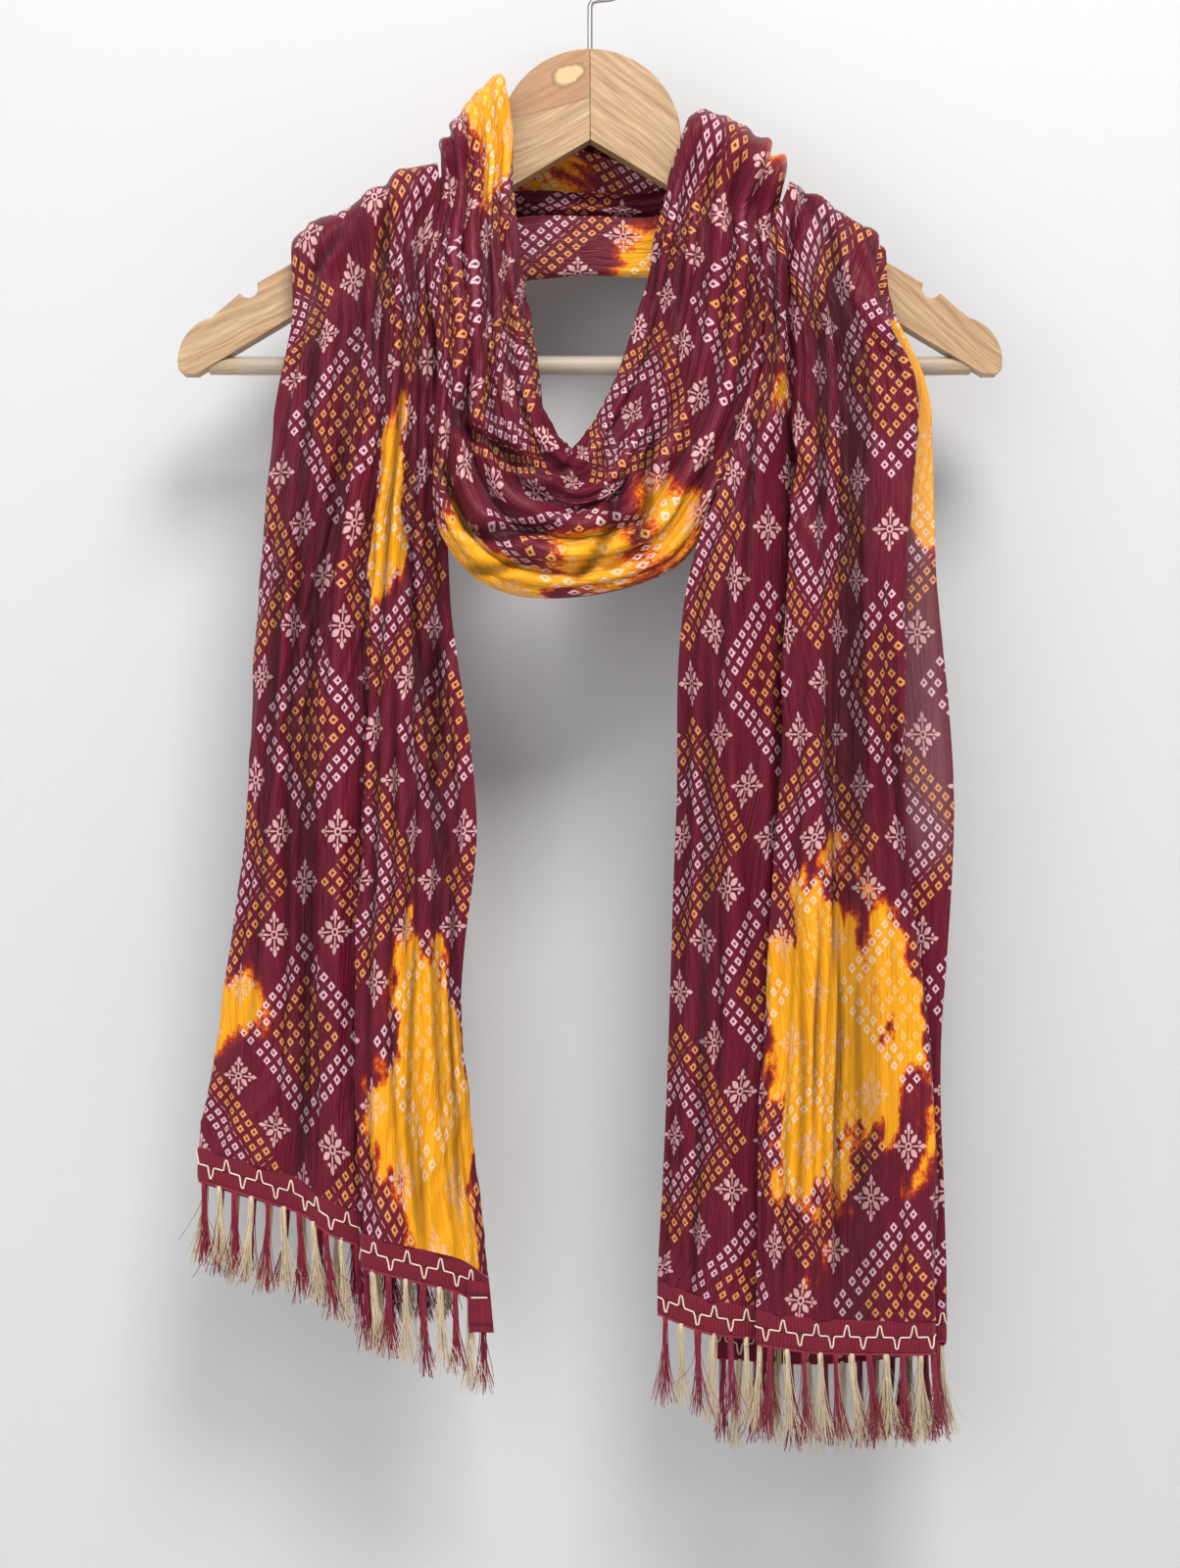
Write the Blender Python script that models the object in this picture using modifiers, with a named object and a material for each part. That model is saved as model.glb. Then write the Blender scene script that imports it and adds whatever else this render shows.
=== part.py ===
"""A crinkled silk stole with fringed ends, wound once round a wooden coat hanger.

The frame is in metres with +Z up. Its origin is the point inside the hook's top where the hanger hangs.
The front is -Y. Sizes below are in millimetres, and each object is made in metres.
"""

import math
import random
from collections import namedtuple

import bmesh
import bpy
import numpy as np
from mathutils import Matrix, Vector

MM = 0.001
COLLECTION = "dupatta_stole_on_hanger"
SEED = 7

# Cloth
CLOTH_WALL = 1.2
TAPE_WALL = 1.6
SEAM_GAP = 0.3
STRETCH_GAP = 1.2
TAPE_HEIGHT = 15.0
HEADING_HEIGHT = 2.2
HEADING_WALL = 1.5
HEADING_GAP = 0.8
UNDERSIDE = 1
TASSEL_PITCH = 9.0
TASSEL_ROOT = 2.8
TASSEL_LENGTH = 47.0
TASSEL_WIDTHS = (1.2, 1.35)
TASSEL_SWAY = 2.2
POINTS_PER_FOLD = 2
TAIL_STEP = 32.0
LOOP_STEP = 17.0

# Hanger
WOOD_TOP = -62.0
WOOD_THICK = 12.0
WOOD_EDGE = 1.2
HEAD_RADIUS = 49.0
HEAD_CENTRE_Z = WOOD_TOP - HEAD_RADIUS - 1.0
ARM_SLOPE = math.radians(30.0)
SHOULDER_DROP = 2.0
NOTCH_X = 184.0
NOTCH_RADIUS = 5.2
TIP_CENTRE = (198.0, -231.0)
TIP_RADIUS = 24.0
TIP_START = math.radians(76.0)
TIP_END = math.radians(-12.0)
FOOT_Z = -238.5
FOOT_ENDS = (219.0, 212.0)
BAR_Z = -233.0
BAR_RADIUS = 4.85
BAR_HALF = 206.0
BAR_SOCKET = 209.0
SLEEVE_HALF = 190.0
SLEEVE_WALL = 0.5
WIRE_RADIUS = 1.55
HOOK_RADIUS = 19.0
HOOK_STEM_TOP = -39.5
HOOK_ROOT_DEPTH = 14.0
HOOK_BEND_PULL = 7.5
HOOK_START = math.radians(-38.0)
HOOK_END = math.radians(200.0)
FIT_GAP = 0.3

# One pair for each of the 14 fold lines that run the length of the stole: how far across the width the line
# lies, from 0 at the outer side to 1 at the neck side, and how far it stands out from the hindmost layer.
PROFILES = {
    "left_collar": (
        (0.52, 0), (0.84, 0), (0.85, 6), (0.45, 6), (0.03, 7), (0.0, 13), (0.24, 22),
        (0.47, 14), (0.56, 23), (0.66, 15), (0.73, 23), (0.81, 21), (0.90, 14), (1.0, 9),
    ),
    "left_chest": (
        (0.55, 0), (0.88, 0), (0.89, 6), (0.48, 6), (0.03, 7), (0.0, 13), (0.15, 23),
        (0.32, 13), (0.43, 23), (0.56, 13), (0.63, 24), (0.76, 26), (0.89, 15), (1.0, 12),
    ),
    "left_waist": (
        (0.58, 0), (0.92, 0), (0.93, 6), (0.50, 6), (0.03, 7), (0.0, 13), (0.13, 22),
        (0.25, 13), (0.38, 21), (0.57, 13), (0.53, 25), (0.68, 28), (0.84, 19), (1.0, 24),
    ),
    "left_hem": (
        (0.50, 0), (0.84, 0), (0.86, 6), (0.46, 6), (0.03, 7), (0.0, 13), (0.20, 20),
        (0.36, 13), (0.45, 19), (0.66, 12), (0.57, 26), (0.74, 30), (0.91, 24), (1.0, 17),
    ),
    "gather": (
        (0.70, 0), (0.36, 0), (0.03, 1), (0.0, 6), (0.10, 14), (0.20, 8), (0.30, 16),
        (0.41, 8), (0.52, 17), (0.62, 9), (0.72, 17), (0.82, 9), (0.92, 15), (1.0, 7),
    ),
    "bunch": (
        (0.70, 0), (0.36, 0), (0.03, 2), (0.0, 8), (0.10, 16), (0.20, 12), (0.30, 19),
        (0.41, 14), (0.52, 20), (0.62, 15), (0.72, 20), (0.82, 14), (0.92, 18), (1.0, 10),
    ),
    "cowl": (
        (0.58, 0), (0.30, 1), (0.02, 4), (0.0, 12), (0.09, 21), (0.17, 17), (0.27, 27),
        (0.37, 18), (0.47, 27), (0.58, 17), (0.69, 24), (0.80, 14), (0.90, 18), (1.0, 8),
    ),
    "right_collar": (
        (0.74, 0), (0.40, 0), (0.03, 1), (0.0, 7), (0.24, 7), (0.25, 12), (0.10, 12),
        (0.11, 18), (0.50, 13), (0.66, 21), (0.77, 17), (0.84, 10), (0.91, 20), (1.0, 17),
    ),
    "right_chest": (
        (0.76, 0), (0.42, 0), (0.03, 1), (0.0, 6), (0.28, 6), (0.29, 11), (0.14, 11),
        (0.15, 17), (0.36, 12), (0.48, 21), (0.60, 19), (0.54, 8), (0.80, 20), (1.0, 19),
    ),
    "right_waist": (
        (0.78, 0), (0.42, 0), (0.03, 1), (0.0, 6), (0.31, 6), (0.32, 11), (0.18, 11),
        (0.19, 18), (0.38, 13), (0.50, 22), (0.64, 21), (0.56, 8), (0.82, 19), (1.0, 13),
    ),
    "right_hem": (
        (0.80, 0), (0.42, 0), (0.03, 1), (0.0, 6), (0.24, 6), (0.25, 12), (0.05, 12),
        (0.06, 18), (0.33, 14), (0.50, 22), (0.66, 21), (0.57, 8), (0.83, 18), (1.0, 12),
    ),
}

# How far each fold line ends below its hem station, from the outer side's layers to the neck side's.
HEM_DROPS = {
    "left_hem": (-5, 12, 12, 3, -16, -19, -11, -1, 8, 22, 24, 31, 39, 50),
    "right_hem": (9, 12, 4, -1, 6, 6, 3, 3, 4, 1, -3, -2, -8, -17),
}

# The route from the left hem to the right one. Each station has the middle of its hindmost layer, the turn
# of its width from +X towards +Z, the lean of its outward side from the front (0) over the top (90) to the
# back (180), its width, the bulk that its folds' depths are scaled by, and its profile.
Station = namedtuple("Station", "name x y z turn lean width bulk profile")
STATIONS = tuple(
    Station(*row)
    for row in (
        ("left_hem", -131, -9, -672, 0, 0, 154, 1.0, "left_hem"),
        ("left_low", -132, -9, -580, 0, 0, 128, 1.0, "left_hem"),
        ("left_waist", -121, -9, -480, 0, 0, 123, 1.0, "left_waist"),
        ("left_chest", -125, -9, -354, 0, 0, 100, 1.0, "left_chest"),
        ("left_collar", -121, -9, -240, 8, 0, 87, 0.9, "left_collar"),
        ("left_front", -119, -8.4, -181, 31, 0, 90, 0.7, "left_collar"),
        ("left_front_corner", -118, -7.4, -152.6, 31, 45, 89, 0.6, "left_collar"),
        ("left_ridge", -118, 0, -151.6, 31, 90, 88, 0.6, "left_collar"),
        ("left_back_corner", -118, 7.4, -152.6, 33, 135, 86, 0.6, "left_collar"),
        ("left_back", -109, 8.8, -172, 42, 180, 78, 0.6, "left_collar"),
        ("a_start", -82, 11, -176, 66, 180, 58, 0.6, "gather"),
        ("a_left", -42, 12, -162, 86, 180, 44, 0.6, "gather"),
        ("a_middle", 0, 14, -158, 90, 180, 46, 0.7, "gather"),
        ("a_right", 38, 13, -158, 98, 180, 46, 0.7, "gather"),
        ("a_end", 61, 10.5, -150, 126, 180, 50, 0.65, "gather"),
        ("loop_back", 73, 8.6, -142, 150, 180, 54, 0.7, "gather"),
        ("loop_back_corner", 75, 7.4, -125.3, 150, 135, 58, 1.0, "bunch"),
        ("loop_ridge", 75, 0, -123.8, 150, 90, 59, 1.2, "bunch"),
        ("loop_front_corner", 75, -7.4, -125.3, 150, 45, 60, 1.15, "bunch"),
        ("loop_front", 71, -8.8, -146, 160, 0, 60, 0.9, "gather"),
        ("loop_right_1", 67, -10, -172, 172, 0, 65, 0.7, "cowl"),
        ("loop_right_2", 62, -11, -206, 167, 0, 68, 0.65, "cowl"),
        ("loop_right_3", 52, -14, -250, 154, 0, 74, 0.65, "cowl"),
        ("loop_right_4", 36, -18, -287, 146, 0, 80, 0.7, "cowl"),
        ("loop_right_5", 17, -25, -313, 126, 0, 82, 0.85, "cowl"),
        ("loop_bottom", -9, -32, -321, 95, 0, 78, 1.0, "cowl"),
        ("loop_left_5", -37, -35, -310, 75, 0, 96, 1.0, "cowl"),
        ("loop_left_4", -53, -34, -282, 62, 0, 104, 0.95, "cowl"),
        ("loop_left_3", -57, -30, -246, 54, 0, 84, 0.9, "cowl"),
        ("loop_left_2", -58, -25, -208, 46, 0, 62, 0.8, "cowl"),
        ("loop_left_1", -63, -22.5, -170, 38, 0, 57, 0.7, "gather"),
        ("b_front", -61, -14.5, -130, 46, 0, 54, 0.6, "gather"),
        ("b_front_corner", -60, -8.4, -102.5, 50, 45, 53, 0.6, "bunch"),
        ("b_ridge", -60, 0, -101.5, 50, 90, 52, 0.6, "bunch"),
        ("b_back_corner", -59, 7.6, -102.5, 50, 135, 50, 0.6, "bunch"),
        ("b_back", -54, 12, -112, 62, 180, 47, 0.6, "gather"),
        ("b_left", -28, 28, -113, 80, 180, 46, 0.6, "gather"),
        ("b_middle", 12, 30, -124, 92, 180, 50, 0.7, "gather"),
        ("b_right", 56, 31, -144, 106, 180, 54, 0.6, "gather"),
        ("b_end", 93, 25, -169, 124, 180, 58, 0.5, "gather"),
        ("right_back", 119, 9.4, -179, 146, 180, 58, 0.5, "gather"),
        ("right_back_corner", 130, 7.4, -159.2, 150, 135, 60, 0.55, "right_collar"),
        ("right_ridge", 130, 0, -158.2, 150, 90, 61, 0.55, "right_collar"),
        ("right_front_corner", 130, -7.4, -159.2, 150, 45, 62, 0.65, "right_collar"),
        ("right_front", 128, -8.8, -182, 154, 0, 70, 1.1, "right_collar"),
        ("right_collar", 136, -9, -238, 172, 0, 82, 1.3, "right_collar"),
        ("right_chest", 118, -9, -350, 180, 0, 132, 1.7, "right_chest"),
        ("right_waist", 120, -9, -480, 180, 0, 148, 1.2, "right_waist"),
        ("right_low", 115, -9, -600, 180, 0, 146, 1.0, "right_hem"),
        ("right_hem", 113, -9, -741, 180, 0, 154, 1.0, "right_hem"),
    )
)
STATION_INDEX = {station.name: index for index, station in enumerate(STATIONS)}

# Each stretch of the stole that shows, between two stations.
Stretch = namedtuple("Stretch", "node start end step")
STRETCHES = (
    Stretch("stole_left_tail", "left_hem", "left_back", TAIL_STEP),
    Stretch("stole_back_band_a", "left_back", "loop_back", LOOP_STEP),
    Stretch("stole_cowl", "loop_back", "b_back", LOOP_STEP),
    Stretch("stole_back_band_b", "b_back", "right_back", LOOP_STEP),
    Stretch("stole_right_tail", "right_back", "right_hem", TAIL_STEP),
)

COLOURS = {
    "silk": ((0.23, 0.02, 0.05), 0.45),
    "tape": ((0.20, 0.01, 0.03), 0.7),
    "tassel": ((0.42, 0.20, 0.15), 0.7),
    "wood": ((0.62, 0.44, 0.24), 0.5),
    "bar": ((0.66, 0.50, 0.34), 0.5),
    "clear": ((0.8, 0.8, 0.8), 0.2),
    "steel": ((0.6, 0.6, 0.6), 0.3),
}


def clear_scene():
    for item in list(bpy.data.objects):
        bpy.data.objects.remove(item, do_unlink=True)
    collection = bpy.data.collections.new(COLLECTION)
    bpy.context.scene.collection.children.link(collection)
    return collection


def material(node, kind):
    colour, roughness = COLOURS[kind]
    made = bpy.data.materials.new(f"{node}_{kind}")
    made.use_nodes = True
    shader = made.node_tree.nodes["Principled BSDF"]
    shader.inputs["Base Color"].default_value = (*colour, 1.0)
    shader.inputs["Roughness"].default_value = roughness
    shader.inputs["Metallic"].default_value = 1.0 if kind == "steel" else 0.0
    return made


def add_object(collection, node, data, kind):
    made = bpy.data.objects.new(node, data)
    collection.objects.link(made)
    data.materials.append(material(node, kind))
    return made


def mesh_object(collection, node, mesh_builder, kind):
    mesh = bpy.data.meshes.new(node)
    mesh_builder.to_mesh(mesh)
    mesh_builder.free()
    return add_object(collection, node, mesh, kind)


# Curves and the cloth's surface


def curve_through(points, knots, places):
    """A smooth curve that passes points[i] at knots[i], read at each place."""
    shape = (-1,) + (1,) * (points.ndim - 1)
    gaps = np.diff(knots).reshape(shape)
    chords = np.diff(points, axis=0) / gaps
    inner = (chords[1:] * gaps[:-1] + chords[:-1] * gaps[1:]) / (gaps[:-1] + gaps[1:])
    slopes = np.concatenate([chords[:1], inner, chords[-1:]])
    span = np.clip(np.searchsorted(knots, places, side="right") - 1, 0, len(knots) - 2)
    gap = gaps[span]
    t = ((places - knots[span]).reshape(shape)) / gap
    start = (2 * t**3 - 3 * t**2 + 1) * points[span] + (t**3 - 2 * t**2 + t) * gap * slopes[span]
    end = (3 * t**2 - 2 * t**3) * points[span + 1] + (t**3 - t**2) * gap * slopes[span + 1]
    return start + end


def fold_points(station):
    """The station's 14 fold points, in millimetres."""
    turn = math.radians(station.turn)
    lean = math.radians(station.lean)
    across = np.array([math.cos(turn), 0.0, math.sin(turn)])
    upward = np.array([-math.sin(turn), 0.0, math.cos(turn)]) * (1 if math.cos(turn) >= 0 else -1)
    outward = math.cos(lean) * np.array([0.0, -1.0, 0.0]) + math.sin(lean) * upward
    profile = np.array(PROFILES[station.profile], float)
    points = (
        np.array([station.x, station.y, station.z])
        + across * ((profile[:, :1] - 0.5) * station.width)
        + outward * (profile[:, 1:] * station.bulk)
    )
    if station.name in HEM_DROPS:
        points[:, 2] -= np.array(HEM_DROPS[station.name])
    return points


FOLD_GRID = np.array([fold_points(station) for station in STATIONS])
MIDDLES = np.array([[station.x, station.y, station.z] for station in STATIONS], float)
ROUTE = np.concatenate([[0.0], np.cumsum(np.linalg.norm(np.diff(MIDDLES, axis=0), axis=1))])


def cross_row(folds, per_fold):
    """One row of points across the cloth, smooth through its fold points."""
    steps = np.linalg.norm(np.diff(folds, axis=0), axis=1)
    knots = np.concatenate([[0.0], np.cumsum(np.sqrt(steps))])
    shares = np.arange(per_fold) / per_fold
    places = [knots[i] + shares * (knots[i + 1] - knots[i]) for i in range(len(folds) - 1)]
    return curve_through(folds, knots, np.concatenate(places + [knots[-1:]]))


def cloth_rows(places, per_fold):
    """Rows of points at places along the route, in millimetres."""
    folds = curve_through(FOLD_GRID, ROUTE, np.asarray(places, float))
    return np.array([cross_row(row, per_fold) for row in folds])


def route_places(start, end, step):
    """Places from one station to another, with each span in equal steps and the ends a little in."""
    places = []
    for index in range(STATION_INDEX[start], STATION_INDEX[end]):
        count = max(1, round((ROUTE[index + 1] - ROUTE[index]) / step))
        places.extend(np.linspace(ROUTE[index], ROUTE[index + 1], count, endpoint=False))
    places.append(ROUTE[STATION_INDEX[end]])
    places[0] += STRETCH_GAP / 2
    places[-1] -= STRETCH_GAP / 2
    return places


def wall_object(collection, node, rows, wall, kind):
    """A closed wall on a grid of points."""
    bm = bmesh.new()
    grid = [[bm.verts.new(Vector(point) * MM) for point in row] for row in rows]
    for low, high in zip(grid, grid[1:]):
        for j in range(len(low) - 1):
            bm.faces.new((low[j], low[j + 1], high[j + 1], high[j]))
    made = mesh_object(collection, node, bm, kind)
    made.data.shade_smooth()
    solidify = made.modifiers.new("wall", "SOLIDIFY")
    solidify.thickness = wall * MM
    solidify.offset = 0.0
    return made


def add_stole(collection):
    for stretch in STRETCHES:
        rows = cloth_rows(route_places(stretch.start, stretch.end, stretch.step), POINTS_PER_FOLD)
        wall_object(collection, stretch.node, rows, CLOTH_WALL, "silk")


# Trimming


def hem_row(hem, per_fold=POINTS_PER_FOLD):
    return cloth_rows([ROUTE[STATION_INDEX[hem]]], per_fold)[0]


def add_tape(collection, node, hem):
    """The trimming tape carries the hem's line on, 0.3 mm below it."""
    top = hem_row(hem) - (0, 0, SEAM_GAP)
    wall_object(collection, node, [top, top - (0, 0, TAPE_HEIGHT)], TAPE_WALL, "tape")


def lengths_along(row):
    return np.concatenate([[0.0], np.cumsum(np.linalg.norm(np.diff(row, axis=0), axis=1))])


def heading_marks(lengths):
    """Lengths along the heading where its points lie, and which of its spans are tassel roots.

    The tape's own points are kept between the roots, so that the seam keeps its gap round each fold.
    """
    count = int(lengths[-1] // TASSEL_PITCH)
    pitch = lengths[-1] / count
    middles = (np.arange(count) + 0.5) * pitch
    starts = middles - TASSEL_ROOT / 2
    ends = middles + TASSEL_ROOT / 2
    clear = [mark for mark in lengths if np.all((mark < starts - 0.5) | (mark > ends + 0.5))]
    marks = np.array(sorted([*clear, *starts, *ends]))
    is_root = np.isin(marks[:-1], starts)
    return marks, is_root


def sideways(row):
    """Level unit vectors square to a row of points."""
    along = np.gradient(row, axis=0)
    square = np.stack([along[:, 1], -along[:, 0], np.zeros(len(row))], axis=1)
    return square / np.linalg.norm(square, axis=1, keepdims=True)


def add_fringe(collection, node, hem, rng):
    """A narrow heading below the tape, with a tapering lock drawn down from each root on its underside."""
    tape_foot = hem_row(hem) - (0, 0, SEAM_GAP + TAPE_HEIGHT + HEADING_GAP)
    lengths = lengths_along(tape_foot)
    marks, is_root = heading_marks(lengths)
    row = np.stack([np.interp(marks, lengths, tape_foot[:, k]) for k in range(3)], axis=1)
    out = sideways(row) * HEADING_WALL / 2
    down = np.array((0, 0, HEADING_HEIGHT))
    bm = bmesh.new()
    rings = []
    for corners in zip(row - out, row - out - down, row + out - down, row + out):
        rings.append([bm.verts.new(Vector(corner) * MM) for corner in corners])
    bm.faces.new(rings[0])
    bm.faces.new(rings[-1][::-1])
    roots = []
    for left, right, rooted in zip(rings, rings[1:], is_root):
        for k in range(4):
            face = bm.faces.new((left[k], right[k], right[(k + 1) % 4], left[(k + 1) % 4]))
            if rooted and k == UNDERSIDE:
                roots.append(face)
    for root in roots:
        draw_lock(bm, root, rng)
    bmesh.ops.recalc_face_normals(bm, faces=bm.faces[:])
    return mesh_object(collection, node, bm, "tassel")


def draw_lock(bm, root, rng):
    """Draws a face of the heading down in two steps, each a little wider than the last."""
    length = TASSEL_LENGTH * rng.uniform(0.92, 1.06)
    sway = Vector((rng.uniform(-1, 1), rng.uniform(-0.3, 0.3), 0)) * TASSEL_SWAY
    face = root
    for share, width in zip((0.45, 0.55), TASSEL_WIDTHS):
        drawn = bmesh.ops.extrude_discrete_faces(bm, faces=[face])["faces"][0]
        move = (Vector((0, 0, -length * share)) + sway * share) * MM
        bmesh.ops.translate(bm, verts=drawn.verts[:], vec=move)
        centre = drawn.calc_center_median()
        bmesh.ops.scale(bm, verts=drawn.verts[:], vec=(width, width, 1.0), space=Matrix.Translation(-centre))
        face = drawn


# Hanger


def arc(centre, radius, start, end, count):
    """Points on an arc in the XZ plane, in millimetres."""
    angles = np.linspace(start, end, count)
    return [(centre[0] + radius * math.cos(a), centre[1] + radius * math.sin(a)) for a in angles]


def arm_top(x):
    """Height of the arm's top edge at a distance from the middle."""
    return HEAD_CENTRE_Z - SHOULDER_DROP - (x - HEAD_RADIUS) * math.tan(ARM_SLOPE)


def hanger_outline():
    """The right half's outline, from the top of its head round to its foot on the middle line."""
    half_joint = FIT_GAP / 2
    head = arc((0, HEAD_CENTRE_Z), HEAD_RADIUS, math.pi / 2 - half_joint / HEAD_RADIUS, 0.0, 14)
    notch_z = arm_top(NOTCH_X)
    notch = arc((NOTCH_X, notch_z), NOTCH_RADIUS, math.pi - ARM_SLOPE, 2 * math.pi - ARM_SLOPE, 7)
    tip = arc(TIP_CENTRE, TIP_RADIUS, TIP_START, TIP_END, 8)
    foot = [(x, FOOT_Z) for x in FOOT_ENDS]
    apex = [(half_joint, HEAD_CENTRE_Z)]
    neck = [(HEAD_RADIUS, arm_top(HEAD_RADIUS))]
    return head + neck + notch + tip + foot + apex


def add_hanger_half(collection, node, side, cutters):
    bm = bmesh.new()
    verts = [bm.verts.new(Vector((side * x, -WOOD_THICK / 2, z)) * MM) for x, z in hanger_outline()]
    face = bm.faces.new(verts)
    drawn = bmesh.ops.extrude_face_region(bm, geom=[face])["geom"]
    moved = [item for item in drawn if isinstance(item, bmesh.types.BMVert)]
    bmesh.ops.translate(bm, verts=moved, vec=(0, WOOD_THICK * MM, 0))
    bmesh.ops.recalc_face_normals(bm, faces=bm.faces[:])
    made = mesh_object(collection, node, bm, "wood")
    edge = made.modifiers.new("edge", "BEVEL")
    edge.width = WOOD_EDGE * MM
    edge.segments = 1
    edge.limit_method = "ANGLE"
    edge.angle_limit = math.radians(60)
    for cutter in cutters:
        cut = made.modifiers.new(cutter.name, "BOOLEAN")
        cut.operation = "DIFFERENCE"
        cut.object = cutter
    return made


def add_cylinder(collection, node, radius, start, end, sides, kind):
    """A cylinder between two points given in millimetres."""
    start = Vector(start) * MM
    end = Vector(end) * MM
    axis = end - start
    bm = bmesh.new()
    bmesh.ops.create_cone(
        bm, cap_ends=True, segments=sides, radius1=radius * MM, radius2=radius * MM, depth=axis.length
    )
    turn = axis.to_track_quat("Z", "Y").to_matrix().to_4x4()
    bmesh.ops.transform(bm, matrix=Matrix.Translation((start + end) / 2) @ turn, verts=bm.verts[:])
    return mesh_object(collection, node, bm, kind)


def add_cutter(collection, node, radius, start, end, sides):
    made = add_cylinder(collection, node, radius, start, end, sides, "steel")
    made.hide_render = True
    made.display_type = "WIRE"
    return made


def add_sleeve(collection, node):
    """A thin clear tube over the bar, turned about X."""
    inner = BAR_RADIUS + FIT_GAP
    outer = inner + SLEEVE_WALL
    bm = bmesh.new()
    profile = [(-SLEEVE_HALF, inner), (-SLEEVE_HALF, outer), (SLEEVE_HALF, outer), (SLEEVE_HALF, inner)]
    verts = [bm.verts.new(Vector((x, 0, BAR_Z + r)) * MM) for x, r in profile]
    edges = [bm.edges.new((verts[i], verts[(i + 1) % 4])) for i in range(4)]
    bmesh.ops.spin(
        bm, geom=verts + edges, axis=(1, 0, 0), cent=Vector((0, 0, BAR_Z)) * MM,
        angle=2 * math.pi, steps=16, use_merge=True,
    )
    bmesh.ops.remove_doubles(bm, verts=bm.verts[:], dist=0.00001)
    bmesh.ops.recalc_face_normals(bm, faces=bm.faces[:])
    return mesh_object(collection, node, bm, "clear")


def hook_path():
    """The wire's middle line: a stem, a bend to one side and an arc over the bearing point."""
    centre = (0.0, -HOOK_RADIUS)
    radius = HOOK_RADIUS + WIRE_RADIUS
    stem = [(0.0, WOOD_TOP - HOOK_ROOT_DEPTH), (0.0, HOOK_STEM_TOP)]
    over = arc(centre, radius, HOOK_START, HOOK_END, 20)
    start = np.array(stem[-1])
    end = np.array(over[0])
    leave = np.array((0.0, 1.0)) * HOOK_BEND_PULL
    arrive = np.array((-math.sin(HOOK_START), math.cos(HOOK_START))) * HOOK_BEND_PULL
    bend = []
    for t in np.linspace(0, 1, 7)[1:-1]:
        weights = ((1 - t) ** 3, 3 * t * (1 - t) ** 2, 3 * t**2 * (1 - t), t**3)
        controls = (start, start + leave, end - arrive, end)
        bend.append(tuple(sum(w * c for w, c in zip(weights, controls))))
    return stem + bend + over


def add_hook(collection, node):
    curve = bpy.data.curves.new(node, "CURVE")
    curve.dimensions = "3D"
    curve.bevel_depth = WIRE_RADIUS * MM
    curve.bevel_resolution = 2
    curve.use_fill_caps = True
    path = hook_path()
    spline = curve.splines.new("POLY")
    spline.points.add(len(path) - 1)
    for point, (x, z) in zip(spline.points, path):
        point.co = (x * MM, 0.0, z * MM, 1.0)
    return add_object(collection, node, curve, "steel")


def add_hanger(collection):
    cutters = bpy.data.collections.new("cutters")
    bpy.context.scene.collection.children.link(cutters)
    socket_radius = BAR_RADIUS + FIT_GAP
    socket_ends = ((-BAR_SOCKET, 0, BAR_Z), (BAR_SOCKET, 0, BAR_Z))
    socket = add_cutter(cutters, "bar_socket", socket_radius, *socket_ends, 16)
    hole_ends = ((0, 0, WOOD_TOP - HOOK_ROOT_DEPTH - FIT_GAP), (0, 0, WOOD_TOP + 10.0))
    hole = add_cutter(cutters, "hook_hole", WIRE_RADIUS + FIT_GAP, *hole_ends, 12)
    add_hanger_half(collection, "hanger_left", -1, (socket, hole))
    add_hanger_half(collection, "hanger_right", 1, (socket, hole))
    add_cylinder(collection, "hanger_bar", BAR_RADIUS, (-BAR_HALF, 0, BAR_Z), (BAR_HALF, 0, BAR_Z), 16, "bar")
    add_sleeve(collection, "bar_sleeve")
    add_hook(collection, "hanger_hook")


def main():
    collection = clear_scene()
    rng = random.Random(SEED)
    add_stole(collection)
    for side in ("left", "right"):
        add_tape(collection, f"{side}_hem_tape", f"{side}_hem")
        add_fringe(collection, f"{side}_fringe", f"{side}_hem", rng)
    add_hanger(collection)


main()
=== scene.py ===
"""Looks for the crinkled bandhani stole on its wooden hanger.

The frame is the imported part, in metres with +Z up and the front at -Y. Tables here are in millimetres.
"""

import math
from collections import namedtuple

import bmesh
import bpy
import numpy as np
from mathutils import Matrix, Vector


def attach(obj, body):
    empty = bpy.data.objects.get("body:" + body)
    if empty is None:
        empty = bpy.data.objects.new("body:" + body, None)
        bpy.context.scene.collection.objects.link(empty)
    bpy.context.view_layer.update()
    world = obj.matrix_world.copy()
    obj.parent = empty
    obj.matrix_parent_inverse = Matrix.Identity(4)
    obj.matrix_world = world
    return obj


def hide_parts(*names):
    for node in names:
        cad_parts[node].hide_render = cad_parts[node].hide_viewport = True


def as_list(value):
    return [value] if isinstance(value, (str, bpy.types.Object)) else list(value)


MM = 0.001
BODY = "root"

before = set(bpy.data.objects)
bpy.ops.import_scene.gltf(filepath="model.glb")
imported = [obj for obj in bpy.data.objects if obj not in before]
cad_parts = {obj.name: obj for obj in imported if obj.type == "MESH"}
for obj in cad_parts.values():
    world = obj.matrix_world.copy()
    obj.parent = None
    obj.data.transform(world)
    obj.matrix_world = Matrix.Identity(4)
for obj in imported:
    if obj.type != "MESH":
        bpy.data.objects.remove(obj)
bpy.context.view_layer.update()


def table(kind, *rows):
    return tuple(kind(*row) for row in rows)


# Cloth, as in the part
STRETCH_GAP = 1.2
SEAM_GAP = 0.3
TAPE_HEIGHT = 15.0
HEADING_HEIGHT = 2.2
HEADING_WALL = 1.5
HEADING_GAP = 0.8
TASSEL_PITCH = 9.0
TASSEL_LENGTH = 47.0
COARSE_PER_FOLD = 2

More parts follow.
